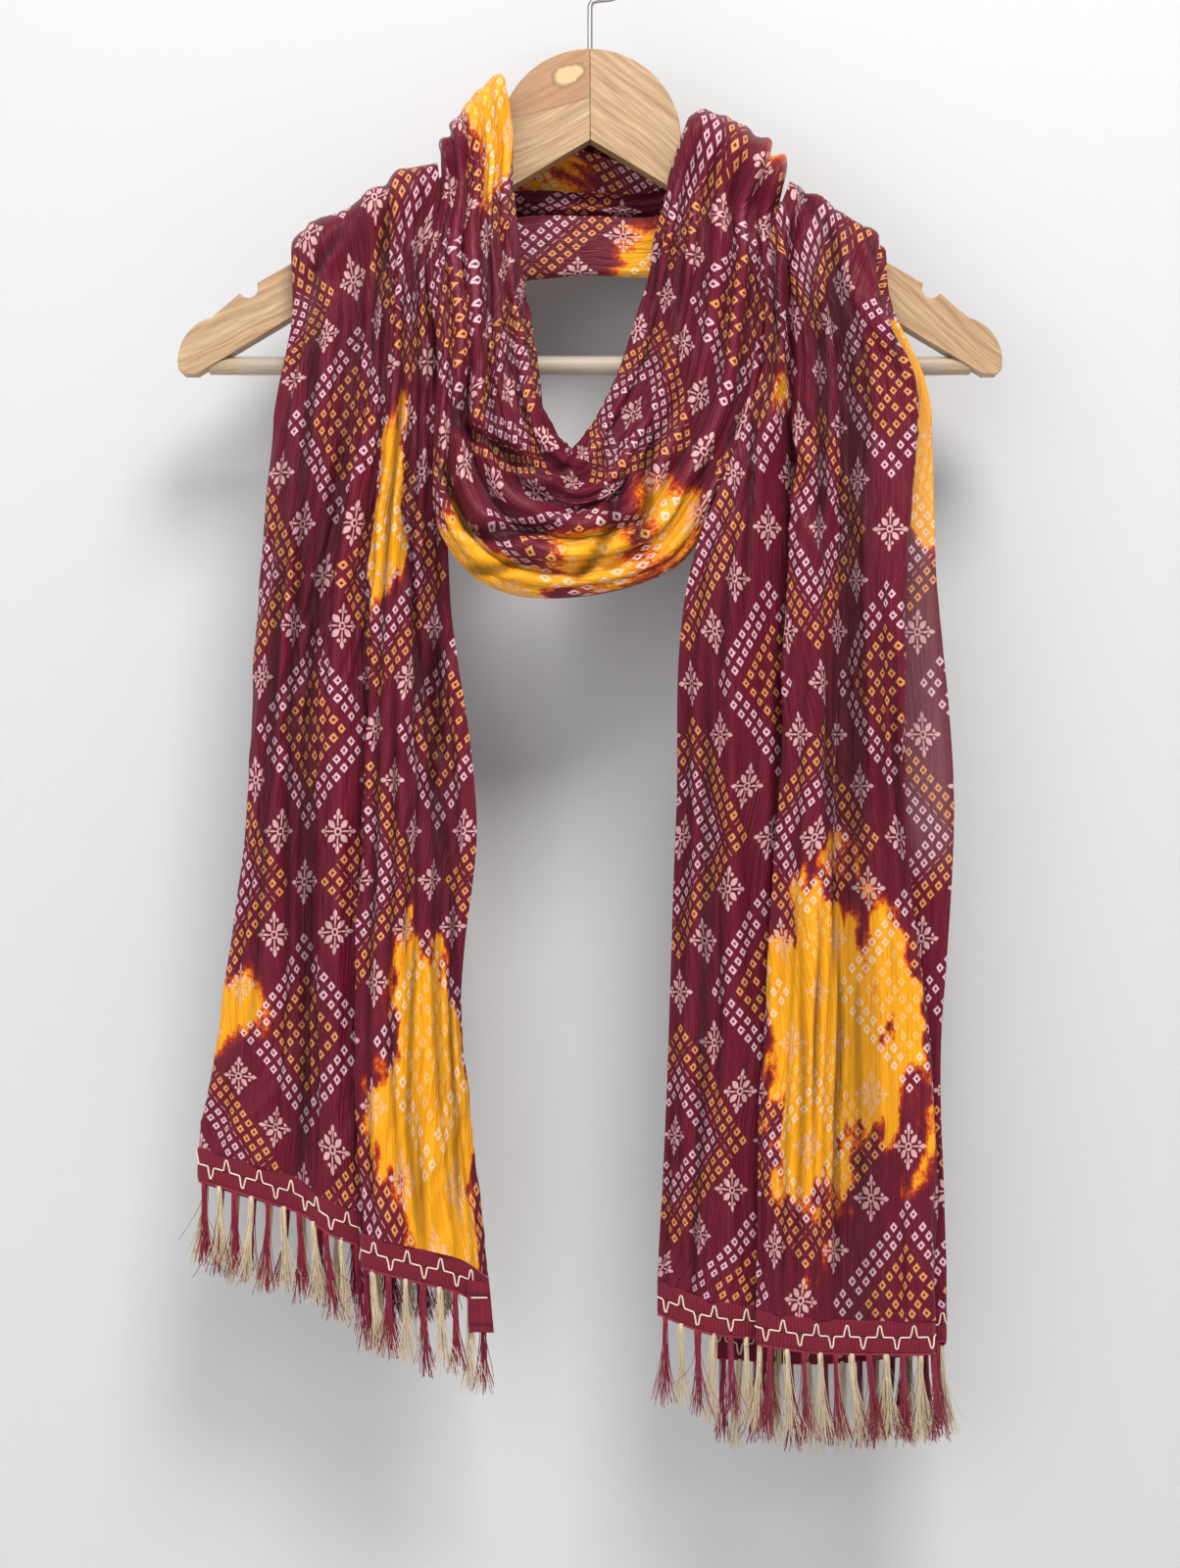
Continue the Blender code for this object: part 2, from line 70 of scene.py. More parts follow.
# Cloth, finer
PER_FOLD = 20
TAIL_STEP = 3.0
LOOP_STEP = 2.4
PRINT_FOLD = 8
LEFT_PRINT = (24.0, -80.0)
RIGHT_PRINT = (40.0, 30.0)
# Painted see-through on the right tail's single-layer edge: its fold line, half width in folds, steepness,
# reach past the waist, fade length and most share.
SHEER_FOLD = 3.35
SHEER_HALF_FOLDS = 0.42
SHEER_STEEP = 1.6
SHEER_ON = 32
SHEER_FADE = 30.0
SHEER_MOST = 0.45

# Tape, its thread and the left hem's turned corner
TAPE_LAP = 1.1
TAPE_FOOT = 1.2
TAPE_SWELL = 0.72
TAPE_EDGE = 0.15
TAPE_ROW_STEP = 1.3
TAPE_POINTS_PER_MM = 2.1
# Each row's height below the tape's top as a share, and how far the surface swells there
TAPE_ROWS = (
    (0.0, 0.55), (0.04, 0.95), (0.14, 1.15), (0.30, 1.2), (0.43, 1.05), (0.49, 0.55),
    (0.53, 0.55), (0.58, 1.0), (0.70, 1.1), (0.86, 1.05), (0.96, 0.9), (1.0, 0.5),
)
RIB_PITCH = 1.9
RIB_HEIGHT = 0.22
# Where painted shade lines run along the tape's two grooves, in its flat places.
GROOVE_FRONT = 7.15
GROOVE_BACK = 22.75
THREAD_RADIUS = 0.45
THREAD_PERIOD = 18.0
THREAD_RISE = 6.2
THREAD_SIDES = 6
THREAD_DROP = 0.51
THREAD_STEP = 0.7
TURNED_HALF_WIDTH = 6.6
TURNED_HEIGHT = 27.0
TURNED_HALF_THICK = 0.75
TURNED_FORWARD = 2.2
TURNED_ROWS = 28
TURNED_SIDES = 40
TURNED_STITCH = 8.5
TURNED_STITCH_POINTS = 16

# Fringe
THREADS_PER_TASSEL = 30
STRAYS_PER_HEM = 34
FRINGE_SEEDS = {"left": 21, "right": 22}
TASSEL_RADII = (0.33, 0.2)
STRAY_RADII = (0.24, 0.14)
KNOT_DROPS = (0.6, 2.0, 3.6, 5.4)
KNOT_RADII = (1.25, 1.45, 1.25, 0.8)
HEADING_STEP = 0.9
HEADING_TWIST = 0.12
HEADING_TWIST_PITCH = 1.8

# Hanger, as in the part, apart from its joint
WOOD_TOP = -62.0
WOOD_THICK = 12.0
WOOD_EDGE = 1.6
HEAD_RADIUS = 49.0
HEAD_CENTRE_Z = WOOD_TOP - HEAD_RADIUS - 1.0
ARM_SLOPE = math.radians(30.0)
SHOULDER_DROP = 2.0
NOTCH_X = 184.0
NOTCH_RADIUS = 5.2
TIP_CENTRE = (198.0, -231.0)
TIP_RADIUS = 24.0
TIP_START = math.radians(76.0)
TIP_END = math.radians(-12.0)
FOOT_Z = -238.5
FOOT_ENDS = (219.0, 212.0)
BAR_Z = -233.0
BAR_RADIUS = 4.85
BAR_HALF = 206.0
SLEEVE_HALF = 190.0
SLEEVE_WALL = 0.5
WIRE_RADIUS = 1.55
HOOK_RADIUS = 19.0
HOOK_STEM_TOP = -39.5
HOOK_ROOT_DEPTH = 14.0
HOOK_BEND_PULL = 7.5
HOOK_START = math.radians(-38.0)
HOOK_END = math.radians(200.0)
FIT_GAP = 0.3
JOINT_GAP = 0.06

# Hanger, finer
BAR_RINGS = 40
BAR_END_PLACES = (0.0, 0.15, 0.5)
BAR_END_SHARES = (0.02, 0.6, 0.9)
ROD_SIDES = 40
SLEEVE_RIB = 0.0022
WIRE_SIDES = 16
WIRE_END_SHARES = (0.9, 0.4)
WOOD_PALE = (0.54, 0.345, 0.18)
WOOD_DARK = (0.25, 0.13, 0.055)
WOOD_BRIGHT = (0.68, 0.48, 0.275)
BAR_PALE = (0.47, 0.36, 0.25)
BAR_DARK = (0.28, 0.19, 0.12)
LEFT_GRAIN = math.radians(24.0)
RIGHT_GRAIN = math.radians(-38.0)
# The left half's brown streak, and its knot's x, z and size
HEARTWOOD_Z = -90.0
HEARTWOOD_SLOPE = 0.237
KNOT = (-11.0, -77.0, 8.2)
KNOT_SQUASH = 0.62

# Print: a trellis of two diamond-shaped medallions with flowers on its lines
MEDALLION_HEIGHT = 163.0
CELL = MEDALLION_HEIGHT / math.sqrt(2)
SQUARE_PITCH = 6.7
SQUARE_HALF = 1.9
SQUARE_HOLE = 0.74
PRINT_EDGE = 0.35
SLANT = math.sqrt(0.5)
# The first medallion's squares close up past a ring, and the second's open out past another
FIRST_GAP_RING = 3.7
FIRST_GAP_SHIFT = -0.4
SECOND_GAP_RING = 4.75
SECOND_GAP_SHIFT = -0.5
# Flower forms: their middle along the petal, half length and half width
PETAL = (5.4, 3.0, 1.7)
TIP = (9.9, 2.4, 1.2)
STEM = (5.6, 3.6, 0.5)
LOBE_PLACE = (7.6, 2.0)
EYE_RADIUS = 1.7
EYE_HALF_WIDTH = 0.55
HEART_REACH = 14.0
DYE_EDGE = (
    (0.0, (0.13, 0.004, 0.018)),
    (0.36, (0.27, 0.014, 0.008)),
    (0.55, (0.66, 0.10, 0.004)),
    (0.74, (0.86, 0.30, 0.006)),
)

PROFILES = {
    "left_collar": (
        (0.52, 0), (0.84, 0), (0.85, 6), (0.45, 6), (0.03, 7), (0.0, 13), (0.24, 22),
        (0.47, 14), (0.56, 23), (0.66, 15), (0.73, 23), (0.81, 21), (0.90, 14), (1.0, 9),
    ),
    "left_chest": (
        (0.55, 0), (0.88, 0), (0.89, 6), (0.48, 6), (0.03, 7), (0.0, 13), (0.15, 23),
        (0.32, 13), (0.43, 23), (0.56, 13), (0.63, 24), (0.76, 26), (0.89, 15), (1.0, 12),
    ),
    "left_waist": (
        (0.58, 0), (0.92, 0), (0.93, 6), (0.50, 6), (0.03, 7), (0.0, 13), (0.13, 22),
        (0.25, 13), (0.38, 21), (0.57, 13), (0.53, 25), (0.68, 28), (0.84, 19), (1.0, 24),
    ),
    "left_hem": (
        (0.50, 0), (0.84, 0), (0.86, 6), (0.46, 6), (0.03, 7), (0.0, 13), (0.20, 20),
        (0.36, 13), (0.45, 19), (0.66, 12), (0.57, 26), (0.74, 30), (0.91, 24), (1.0, 17),
    ),
    "gather": (
        (0.70, 0), (0.36, 0), (0.03, 1), (0.0, 6), (0.10, 14), (0.20, 8), (0.30, 16),
        (0.41, 8), (0.52, 17), (0.62, 9), (0.72, 17), (0.82, 9), (0.92, 15), (1.0, 7),
    ),
    "bunch": (
        (0.70, 0), (0.36, 0), (0.03, 2), (0.0, 8), (0.10, 16), (0.20, 12), (0.30, 19),
        (0.41, 14), (0.52, 20), (0.62, 15), (0.72, 20), (0.82, 14), (0.92, 18), (1.0, 10),
    ),
    "cowl": (
        (0.58, 0), (0.30, 1), (0.02, 4), (0.0, 12), (0.09, 21), (0.17, 17), (0.27, 27),
        (0.37, 18), (0.47, 27), (0.58, 17), (0.69, 24), (0.80, 14), (0.90, 18), (1.0, 8),
    ),
    "right_collar": (
        (0.74, 0), (0.40, 0), (0.03, 1), (0.0, 7), (0.24, 7), (0.25, 12), (0.10, 12),
        (0.11, 18), (0.50, 13), (0.66, 21), (0.77, 17), (0.84, 10), (0.91, 20), (1.0, 17),
    ),
    "right_chest": (
        (0.76, 0), (0.42, 0), (0.03, 1), (0.0, 6), (0.28, 6), (0.29, 11), (0.14, 11),
        (0.15, 17), (0.36, 12), (0.48, 21), (0.60, 19), (0.54, 8), (0.80, 20), (1.0, 19),
    ),
    "right_waist": (
        (0.78, 0), (0.42, 0), (0.03, 1), (0.0, 6), (0.31, 6), (0.32, 11), (0.18, 11),
        (0.19, 18), (0.38, 13), (0.50, 22), (0.64, 21), (0.56, 8), (0.82, 19), (1.0, 13),
    ),
    "right_hem": (
        (0.80, 0), (0.42, 0), (0.03, 1), (0.0, 6), (0.24, 6), (0.25, 12), (0.05, 12),
        (0.06, 18), (0.33, 14), (0.50, 22), (0.66, 21), (0.57, 8), (0.83, 18), (1.0, 12),
    ),
}

HEM_DROPS = {
    "left_hem": (-5, 12, 12, 3, -16, -19, -11, -1, 8, 22, 24, 31, 39, 50),
    "right_hem": (9, 12, 4, -1, 6, 6, 3, 3, 4, 1, -3, -2, -8, -17),
}

Station = namedtuple("Station", "name x y z turn lean width bulk profile")
STATIONS = table(
    Station,
    ("left_hem", -131, -9, -672, 0, 0, 154, 1.0, "left_hem"),
    ("left_low", -132, -9, -580, 0, 0, 128, 1.0, "left_hem"),
    ("left_waist", -121, -9, -480, 0, 0, 123, 1.0, "left_waist"),
    ("left_chest", -125, -9, -354, 0, 0, 100, 1.0, "left_chest"),
    ("left_collar", -121, -9, -240, 8, 0, 87, 0.9, "left_collar"),
    ("left_front", -119, -8.4, -181, 31, 0, 90, 0.7, "left_collar"),
    ("left_front_corner", -118, -7.4, -152.6, 31, 45, 89, 0.6, "left_collar"),
    ("left_ridge", -118, 0, -151.6, 31, 90, 88, 0.6, "left_collar"),
    ("left_back_corner", -118, 7.4, -152.6, 33, 135, 86, 0.6, "left_collar"),
    ("left_back", -109, 8.8, -172, 42, 180, 78, 0.6, "left_collar"),
    ("a_start", -82, 11, -176, 66, 180, 58, 0.6, "gather"),
    ("a_left", -42, 12, -160.5, 86, 180, 50, 0.6, "gather"),
    ("a_middle", 0, 14, -158, 90, 180, 46, 0.7, "gather"),
    ("a_right", 38, 13, -158, 98, 180, 46, 0.7, "gather"),
    ("a_end", 61, 10.5, -150, 126, 180, 50, 0.65, "gather"),
    ("loop_back", 73, 8.6, -142, 150, 180, 54, 0.7, "gather"),
    ("loop_back_corner", 75, 7.4, -125.3, 150, 135, 58, 1.0, "bunch"),
    ("loop_ridge", 75, 0, -123.8, 150, 90, 59, 1.2, "bunch"),
    ("loop_front_corner", 75, -7.4, -125.3, 150, 45, 60, 1.15, "bunch"),
    ("loop_front", 71, -8.8, -146, 160, 0, 60, 0.9, "gather"),
    ("loop_right_1", 67, -10, -172, 172, 0, 65, 0.7, "cowl"),
    ("loop_right_2", 63, -11, -206, 167, 0, 72, 0.65, "cowl"),
    ("loop_right_3", 54, -14, -250, 154, 0, 79, 0.65, "cowl"),
    ("loop_right_4", 36, -18, -287, 146, 0, 80, 0.7, "cowl"),
    ("loop_right_5", 17, -25, -313, 126, 0, 82, 0.85, "cowl"),
    ("loop_bottom", -9, -32, -321, 95, 0, 78, 1.0, "cowl"),
    ("loop_left_5", -37, -35, -310, 75, 0, 96, 1.0, "cowl"),
    ("loop_left_4", -53, -34, -282, 62, 0, 104, 0.95, "cowl"),
    ("loop_left_3", -57, -30, -246, 54, 0, 84, 0.9, "cowl"),
    ("loop_left_2", -58, -25, -208, 46, 0, 62, 0.8, "cowl"),
    ("loop_left_1", -63, -22.5, -170, 38, 0, 57, 0.7, "gather"),
    ("b_front", -61, -14.5, -130, 46, 0, 54, 0.6, "gather"),
    ("b_front_corner", -60, -8.4, -102.5, 50, 45, 53, 0.6, "bunch"),
    ("b_ridge", -60, 0, -101.5, 50, 90, 52, 0.6, "bunch"),
    ("b_back_corner", -59, 7.6, -102.5, 50, 135, 50, 0.6, "bunch"),
    ("b_back", -54, 12, -112, 62, 180, 47, 0.6, "gather"),
    ("b_left", -28, 28, -113, 80, 180, 46, 0.6, "gather"),
    ("b_middle", 12, 30, -124, 92, 180, 50, 0.7, "gather"),
    ("b_right", 56, 31, -144, 106, 180, 54, 0.6, "gather"),
    ("b_end", 93, 25, -169, 124, 180, 58, 0.5, "gather"),
    ("right_back", 119, 9.4, -179, 146, 180, 58, 0.5, "gather"),
    ("right_back_corner", 130, 7.4, -159.2, 150, 135, 60, 0.55, "right_collar"),
    ("right_ridge", 130, 0, -158.2, 150, 90, 61, 0.55, "right_collar"),
    ("right_front_corner", 130, -7.4, -159.2, 150, 45, 62, 0.65, "right_collar"),
    ("right_front", 128, -8.8, -182, 154, 0, 70, 1.1, "right_collar"),
    ("right_collar", 135, -9, -238, 172, 0, 86, 1.3, "right_collar"),
    ("right_chest", 118, -9, -350, 180, 0, 132, 1.7, "right_chest"),
    ("right_waist", 120, -9, -480, 180, 0, 148, 1.2, "right_waist"),
    ("right_low", 115, -9, -600, 180, 0, 146, 1.0, "right_hem"),
    ("right_hem", 113, -9, -741, 180, 0, 154, 1.0, "right_hem"),
)
STATION_INDEX = {station.name: index for index, station in enumerate(STATIONS)}

Stretch = namedtuple("Stretch", "node start end step rests_on flat_width")
STRETCHES = table(
    Stretch,
    ("stole_left_tail", "left_hem", "left_back", TAIL_STEP, ("hanger_left",), 0.32),
    ("stole_back_band_a", "left_back", "loop_back", LOOP_STEP, ("hanger_left", "hanger_right"), 0.12),
    ("stole_cowl", "loop_back", "b_back", LOOP_STEP, ("hanger_left", "hanger_right"), 0.17),
    ("stole_back_band_b", "b_back", "right_back", LOOP_STEP, ("hanger_left", "hanger_right"), 0.11),
    ("stole_right_tail", "right_back", "right_hem", TAIL_STEP, ("hanger_right",), 0.34),
)

# Tie-dyed yellow patches: the stretch's place is a station and a distance on from it, and the fold lines that
# the patch lies between are counted across the cloth.
Patch = namedtuple("Patch", "name station on fold half_length half_folds")
PATCHES = table(
    Patch,
    ("left_strip", "left_chest", 36, 10.1, 56, 0.75),
    ("left_edge", "left_low", -2, 5.1, 24, 0.8),
    ("left_hem_big", "left_low", -44, 11.7, 76, 1.1),
    ("shoulder_strand", "b_front_corner", 2, 10.6, 50, 3.2),
    ("cowl_under", "loop_left_5", 6, 3.6, 34, 1.5),
    ("cowl_rise", "loop_bottom", -6, 5.6, 17, 2.3),
    ("cowl_right", "loop_right_5", -14, 5.2, 15, 2.4),
    ("band_top", "b_left", 4, 3.5, 30, 3.0),
    ("band_low", "a_right", -6, 2.5, 26, 2.2),
    ("right_shoulder", "loop_ridge", -2, 4.5, 14, 1.3),
    ("right_edge", "right_chest", -74, 3.1, 62, 0.55),
    ("right_speck", "right_collar", 17, 11.7, 7, 0.3),
    ("right_big", "right_low", -6, 8.6, 90, 1.5),
)
DYE_FEATHER = 8.5
# How ragged the patches' edges are: share, size across and along, and seed
DYE_RAGGED = ((0.34, 16, 26, 40), (0.16, 5, 9, 70))

# Creases, seen from the front: troughs are negative. Each has the fold lines that it may touch,
# its depth and half width, and the points that it runs through as x and z.
Crease = namedtuple("Crease", "first_fold last_fold depth width points")
CREASES = {
    "stole_left_tail": table(
        Crease,
        (5, 13, -1.8, 3.0, ((-101, -292), (-90, -407), (-77, -499))),
        (5, 13, -4.5, 4.0, ((-83, -378), (-80, -447))),
        (5, 13, 1.3, 2.5, ((-103, -250), (-103, -407))),
        (5, 13, -1.5, 2.4, ((-97, -260), (-93, -401))),
        (5, 13, -1.6, 2.5, ((-93, -543), (-96, -642), (-90, -702))),
        (5, 13, 1.5, 2.6, ((-85, -543), (-83, -702))),
        (5, 13, -1.7, 2.6, ((-75, -558), (-69, -699))),
        (5, 9, -1.7, 4.5, ((-143, -146), (-148, -250), (-158, -407), (-163, -563))),
        (5, 9, 1.4, 4.0, ((-135, -198), (-140, -312), (-146, -420))),
        (5, 9, -1.5, 4.5, ((-158, -260), (-166, -380), (-174, -511), (-182, -620))),
        (5, 9, -1.8, 3.5, ((-148, -459), (-150, -560), (-150, -660))),
        (5, 9, 1.5, 4.5, ((-132, -438), (-135, -657))),
        (5, 13, -1.8, 3.0, ((-106, -140), (-114, -213), (-116, -260))),
        (5, 13, 1.6, 3.0, ((-90, -125), (-101, -213))),
        (5, 13, -1.5, 3.0, ((-152, -195), (-128, -160))),
        (5, 13, -1.4, 2.4, ((-76, -480), (-71, -560), (-66, -640))),
    ),
    "stole_right_tail": table(
        Crease,
        (5, 13, -1.7, 4.5, ((61, -375), (62, -511), (58, -668), (54, -736))),
        (5, 13, 1.5, 4.5, ((74, -407), (77, -563), (74, -730))),
        (5, 13, -2.0, 3.0, ((123, -198), (122, -270), (121, -334))),
        (5, 13, -1.8, 3.0, ((129, -365), (127, -460), (129, -563))),
        (5, 13, 1.5, 3.0, ((145, -292), (148, -390), (151, -490))),
        (5, 13, -1.9, 3.0, ((158, -375), (162, -450), (168, -532))),
        (5, 13, -1.7, 2.5, ((134, -563), (131, -640), (133, -730))),
        (5, 13, -1.5, 2.2, ((142, -563), (145, -689))),
        (5, 13, 1.5, 3.0, ((155, -543), (158, -720))),
        (5, 13, -1.6, 3.0, ((111, -511), (113, -620), (109, -736))),
        (5, 13, 1.4, 3.5, ((98, -360), (94, -480), (97, -590))),
        (5, 13, -1.8, 3.0, ((82, -99), (103, -125), (129, -172), (139, -230))),
        (5, 13, 1.7, 3.0, ((98, -146), (103, -198), (106, -262))),
        (5, 13, -1.7, 3.0, ((145, -161), (158, -196), (163, -250))),
        (5, 13, -1.6, 3.0, ((88, -240), (84, -310), (80, -380))),
    ),
    "stole_cowl": table(
        Crease,
        (3, 13, -5.0, 3.8, ((-64, -246), (-68, -272), (-48, -285), (-27, -296), (-21, -301))),
        (3, 13, -5.5, 3.8, ((-80, -288), (-64, -326), (-40, -330), (-21, -324), (-15, -321))),
        (3, 13, -4.0, 3.4, ((-82, -324), (-76, -347), (-48, -348), (-28, -340))),
        (3, 13, -4.5, 3.4, ((18, -295), (8, -333), (-10, -356))),
        (3, 13, -4.0, 3.4, ((33, -268), (31, -292), (28, -324), (18, -342))),
        (3, 13, -1.6, 2.6, ((51, -146), (48, -200), (45, -250))),
        (3, 13, 1.5, 2.8, ((72, -140), (68, -200), (64, -266))),
        (3, 13, -1.8, 2.8, ((87, -177), (80, -240), (74, -292))),
        (3, 13, -1.4, 2.6, ((38, -156), (34, -200), (30, -240))),
        (3, 13, -1.7, 2.6, ((-54, -140), (-52, -195), (-46, -250))),
        (3, 13, 1.5, 2.6, ((-64, -146), (-62, -200), (-59, -240))),
        (3, 13, -1.5, 2.6, ((-41, -172), (-34, -225), (-22, -276))),
        (3, 13, 1.6, 3.2, ((56, -280), (48, -310), (30, -340))),
        (3, 13, -1.6, 2.6, ((64, -280), (56, -318), (38, -352))),
    ),
}
HIDDEN_SHIFT = -9.0
HIDDEN_DEPTH = 0.8

# Crinkle: streaks that run along the length, with their spacing across, length and height.
Crinkle = namedtuple("Crinkle", "across along height seed")
CRINKLES = table(
    Crinkle,
    (17.0, 210.0, 1.4, 3),
    (8.5, 120.0, 1.0, 5),
    (5.0, 46.0, 0.45, 11),
)
LATTICE = 256

# Long pleats that hide some of the width: the stations that they run between, their places among the fold
# lines, and the least and most depth.
Pleats = namedtuple("Pleats", "start end shallow deep folds")
PLEATS = table(
    Pleats,
    ("left_hem", "left_front", 1.0, 2.2, (0.6, 1.6, 2.4, 3.3, 4.3, 5.5, 6.4, 7.45, 8.5)),
    ("left_hem", "left_front", 1.6, 3.0, (10.4, 10.85, 11.35, 11.8, 12.45)),
    ("left_waist", "left_front", 1.4, 2.6, (5.9, 7.8, 9.6)),
    ("left_hem", "left_chest", 1.2, 2.4, (6.8, 12.1, 11.1)),
    ("right_front", "right_hem", 1.0, 2.2, (0.5, 1.5, 2.5, 3.7, 4.6, 6.6, 9.3)),
    ("right_front", "right_hem", 1.6, 3.0, (8.3, 8.75, 9.8, 12.25, 12.65)),
    ("right_front", "right_waist", 1.4, 2.8, (7.7, 8.0, 9.05, 12.45)),
    ("right_chest", "right_hem", 1.2, 2.4, (7.4, 8.5, 9.55, 12.05, 12.85)),
    ("loop_front", "b_front", 0.8, 1.8, (3.5, 4.6, 5.5, 6.6, 8.5, 9.6, 10.4, 11.5, 12.4)),
)
PLEAT_WIDTH = 1.5
PLEAT_HIDES = 3.4
PLEAT_WANDER = 0.13
PLEAT_FADE = 40.0
PLEAT_DRIFT_LENGTH = 130
PLEAT_UNEVEN_LENGTH = 75
# The ridges beside each pleat: share of its depth, distance and half width
PLEAT_RIDGE = (0.42, 3.4, 1.9)
TAKE_UP = 1.3

RIDGES = ("left_ridge", "loop_ridge", "b_ridge", "right_ridge")
RIDGE_REACH = 26.0
RIDGE_CALM = 0.85
RIDGE_BLUR = 34
FRONT_FOLD = 5.5
# Painted shade on the cloth, darker in pleat troughs, in hollows between the front folds and in crease
# troughs: the hollow's reach in columns, the hollow and trough depths that paint full shade, and the creases'
# share.
HOLLOW_REACH = 17
HOLLOW_DEPTH = 2.3
PAINTED_SHADE_FULL_DEPTH = 2.5
CREASE_SHADE = 0.95
TAIL_CREASES = (1.6, 0.7)
BAND_CREASES = (1.0, 0.85)

# Stage
WALL_Y = 0.075
FLOOR_Z = -1.25
STAGE_HALF = 3.0
WALL_COLOUR = (0.64, 0.64, 0.643)
FLOOR_COLOUR = (0.72, 0.71, 0.70)
WORLD_COLOUR = (0.93, 0.95, 1.0, 1.0)
WORLD_STRENGTH = 0.42
Light = namedtuple("Light", "name place energy size colour")
LIGHTS = table(
    Light,
    ("key", (0.35, -1.4, 1.15), 42.0, 0.8, (1.0, 0.985, 0.965)),
    ("fill", (-1.0, -1.9, -0.1), 18.0, 1.8, (0.97, 0.98, 1.0)),
    ("back", (0.9, 1.9, 0.6), 24.0, 1.4, (1.0, 1.0, 1.0)),
)
LIGHT_AIM = (0.0, 0.0, -0.42)
CAMERA_LENS = 60.0
CAMERA_SENSOR = 36.0
CAMERA_PLACE = (0.0, -1.413, -0.459)
CAMERA_AIM = (0.0, -0.02, -0.459)


# Curves and the cloth's surface, as in the part


def lengths_along(row):
    return np.concatenate([[0.0], np.cumsum(np.linalg.norm(np.diff(row, axis=0), axis=1))])


def curve_through(points, knots, places):
    """A smooth curve that passes points[i] at knots[i], read at each place."""
    shape = (-1,) + (1,) * (points.ndim - 1)
    gaps = np.diff(knots).reshape(shape)
    chords = np.diff(points, axis=0) / gaps
    inner = (chords[1:] * gaps[:-1] + chords[:-1] * gaps[1:]) / (gaps[:-1] + gaps[1:])
    slopes = np.concatenate([chords[:1], inner, chords[-1:]])
    span = np.clip(np.searchsorted(knots, places, side="right") - 1, 0, len(knots) - 2)
    gap = gaps[span]
    t = ((places - knots[span]).reshape(shape)) / gap
    start = (2 * t**3 - 3 * t**2 + 1) * points[span] + (t**3 - 2 * t**2 + t) * gap * slopes[span]
    end = (3 * t**2 - 2 * t**3) * points[span + 1] + (t**3 - t**2) * gap * slopes[span + 1]
    return start + end


def fold_points(station):
    """The station's 14 fold points, in millimetres."""
    turn = math.radians(station.turn)
    lean = math.radians(station.lean)
    across = np.array([math.cos(turn), 0.0, math.sin(turn)])
    upward = np.array([-math.sin(turn), 0.0, math.cos(turn)]) * (1 if math.cos(turn) >= 0 else -1)
    outward = math.cos(lean) * np.array([0.0, -1.0, 0.0]) + math.sin(lean) * upward
    profile = np.array(PROFILES[station.profile], float)
    points = (
        np.array([station.x, station.y, station.z])
        + across * ((profile[:, :1] - 0.5) * station.width)
        + outward * (profile[:, 1:] * station.bulk)
    )
    if station.name in HEM_DROPS:
        points[:, 2] -= np.array(HEM_DROPS[station.name])
    return points


FOLD_GRID = np.array([fold_points(station) for station in STATIONS])
FOLDS = FOLD_GRID.shape[1]
ROUTE = lengths_along(np.array([[station.x, station.y, station.z] for station in STATIONS], float))
STATION_PLACE = {station.name: place for station, place in zip(STATIONS, ROUTE)}


def cross_row(folds, per_fold):
    """One row of points across the cloth, smooth through its fold points."""
    steps = np.linalg.norm(np.diff(folds, axis=0), axis=1)
    knots = np.concatenate([[0.0], np.cumsum(np.sqrt(steps))])
    shares = np.arange(per_fold) / per_fold
    places = [knots[i] + shares * (knots[i + 1] - knots[i]) for i in range(len(folds) - 1)]
    return curve_through(folds, knots, np.concatenate(places + [knots[-1:]]))


def cloth_rows(places, per_fold):
    """Rows of points at places along the route, in millimetres."""
    folds = curve_through(FOLD_GRID, ROUTE, np.asarray(places, float))
    return np.array([cross_row(row, per_fold) for row in folds])


def route_places(start, end, step):
    """Places from one station to another, with each span in equal steps and the ends a little in."""
    places = []
    for index in range(STATION_INDEX[start], STATION_INDEX[end]):
        count = max(1, round((ROUTE[index + 1] - ROUTE[index]) / step))
        places.extend(np.linspace(ROUTE[index], ROUTE[index + 1], count, endpoint=False))
    places.append(STATION_PLACE[end])
    places[0] += STRETCH_GAP / 2
    places[-1] -= STRETCH_GAP / 2
    return places


# Finer forms


def smooth_noise(across, along, seed):
    """Smooth noise from -1 to 1 on a seeded lattice of one unit."""
    lattice = np.random.default_rng(seed).uniform(-1, 1, (LATTICE, LATTICE))
    column = np.floor(across).astype(int)
    row = np.floor(along).astype(int)
    s = across - column
    t = along - row
    s = s * s * (3 - 2 * s)
    t = t * t * (3 - 2 * t)

    def at(right, up):
        return lattice[(column + right) % LATTICE, (row + up) % LATTICE]

    near = at(0, 0) * (1 - s) + at(1, 0) * s
    far = at(0, 1) * (1 - s) + at(1, 1) * s
    return near * (1 - t) + far * t


def grid_normals(grid):
    along = np.gradient(grid, axis=0)
    across = np.gradient(grid, axis=1)
    normals = np.cross(along, across)
    return normals / np.maximum(np.linalg.norm(normals, axis=2, keepdims=True), 1e-9)


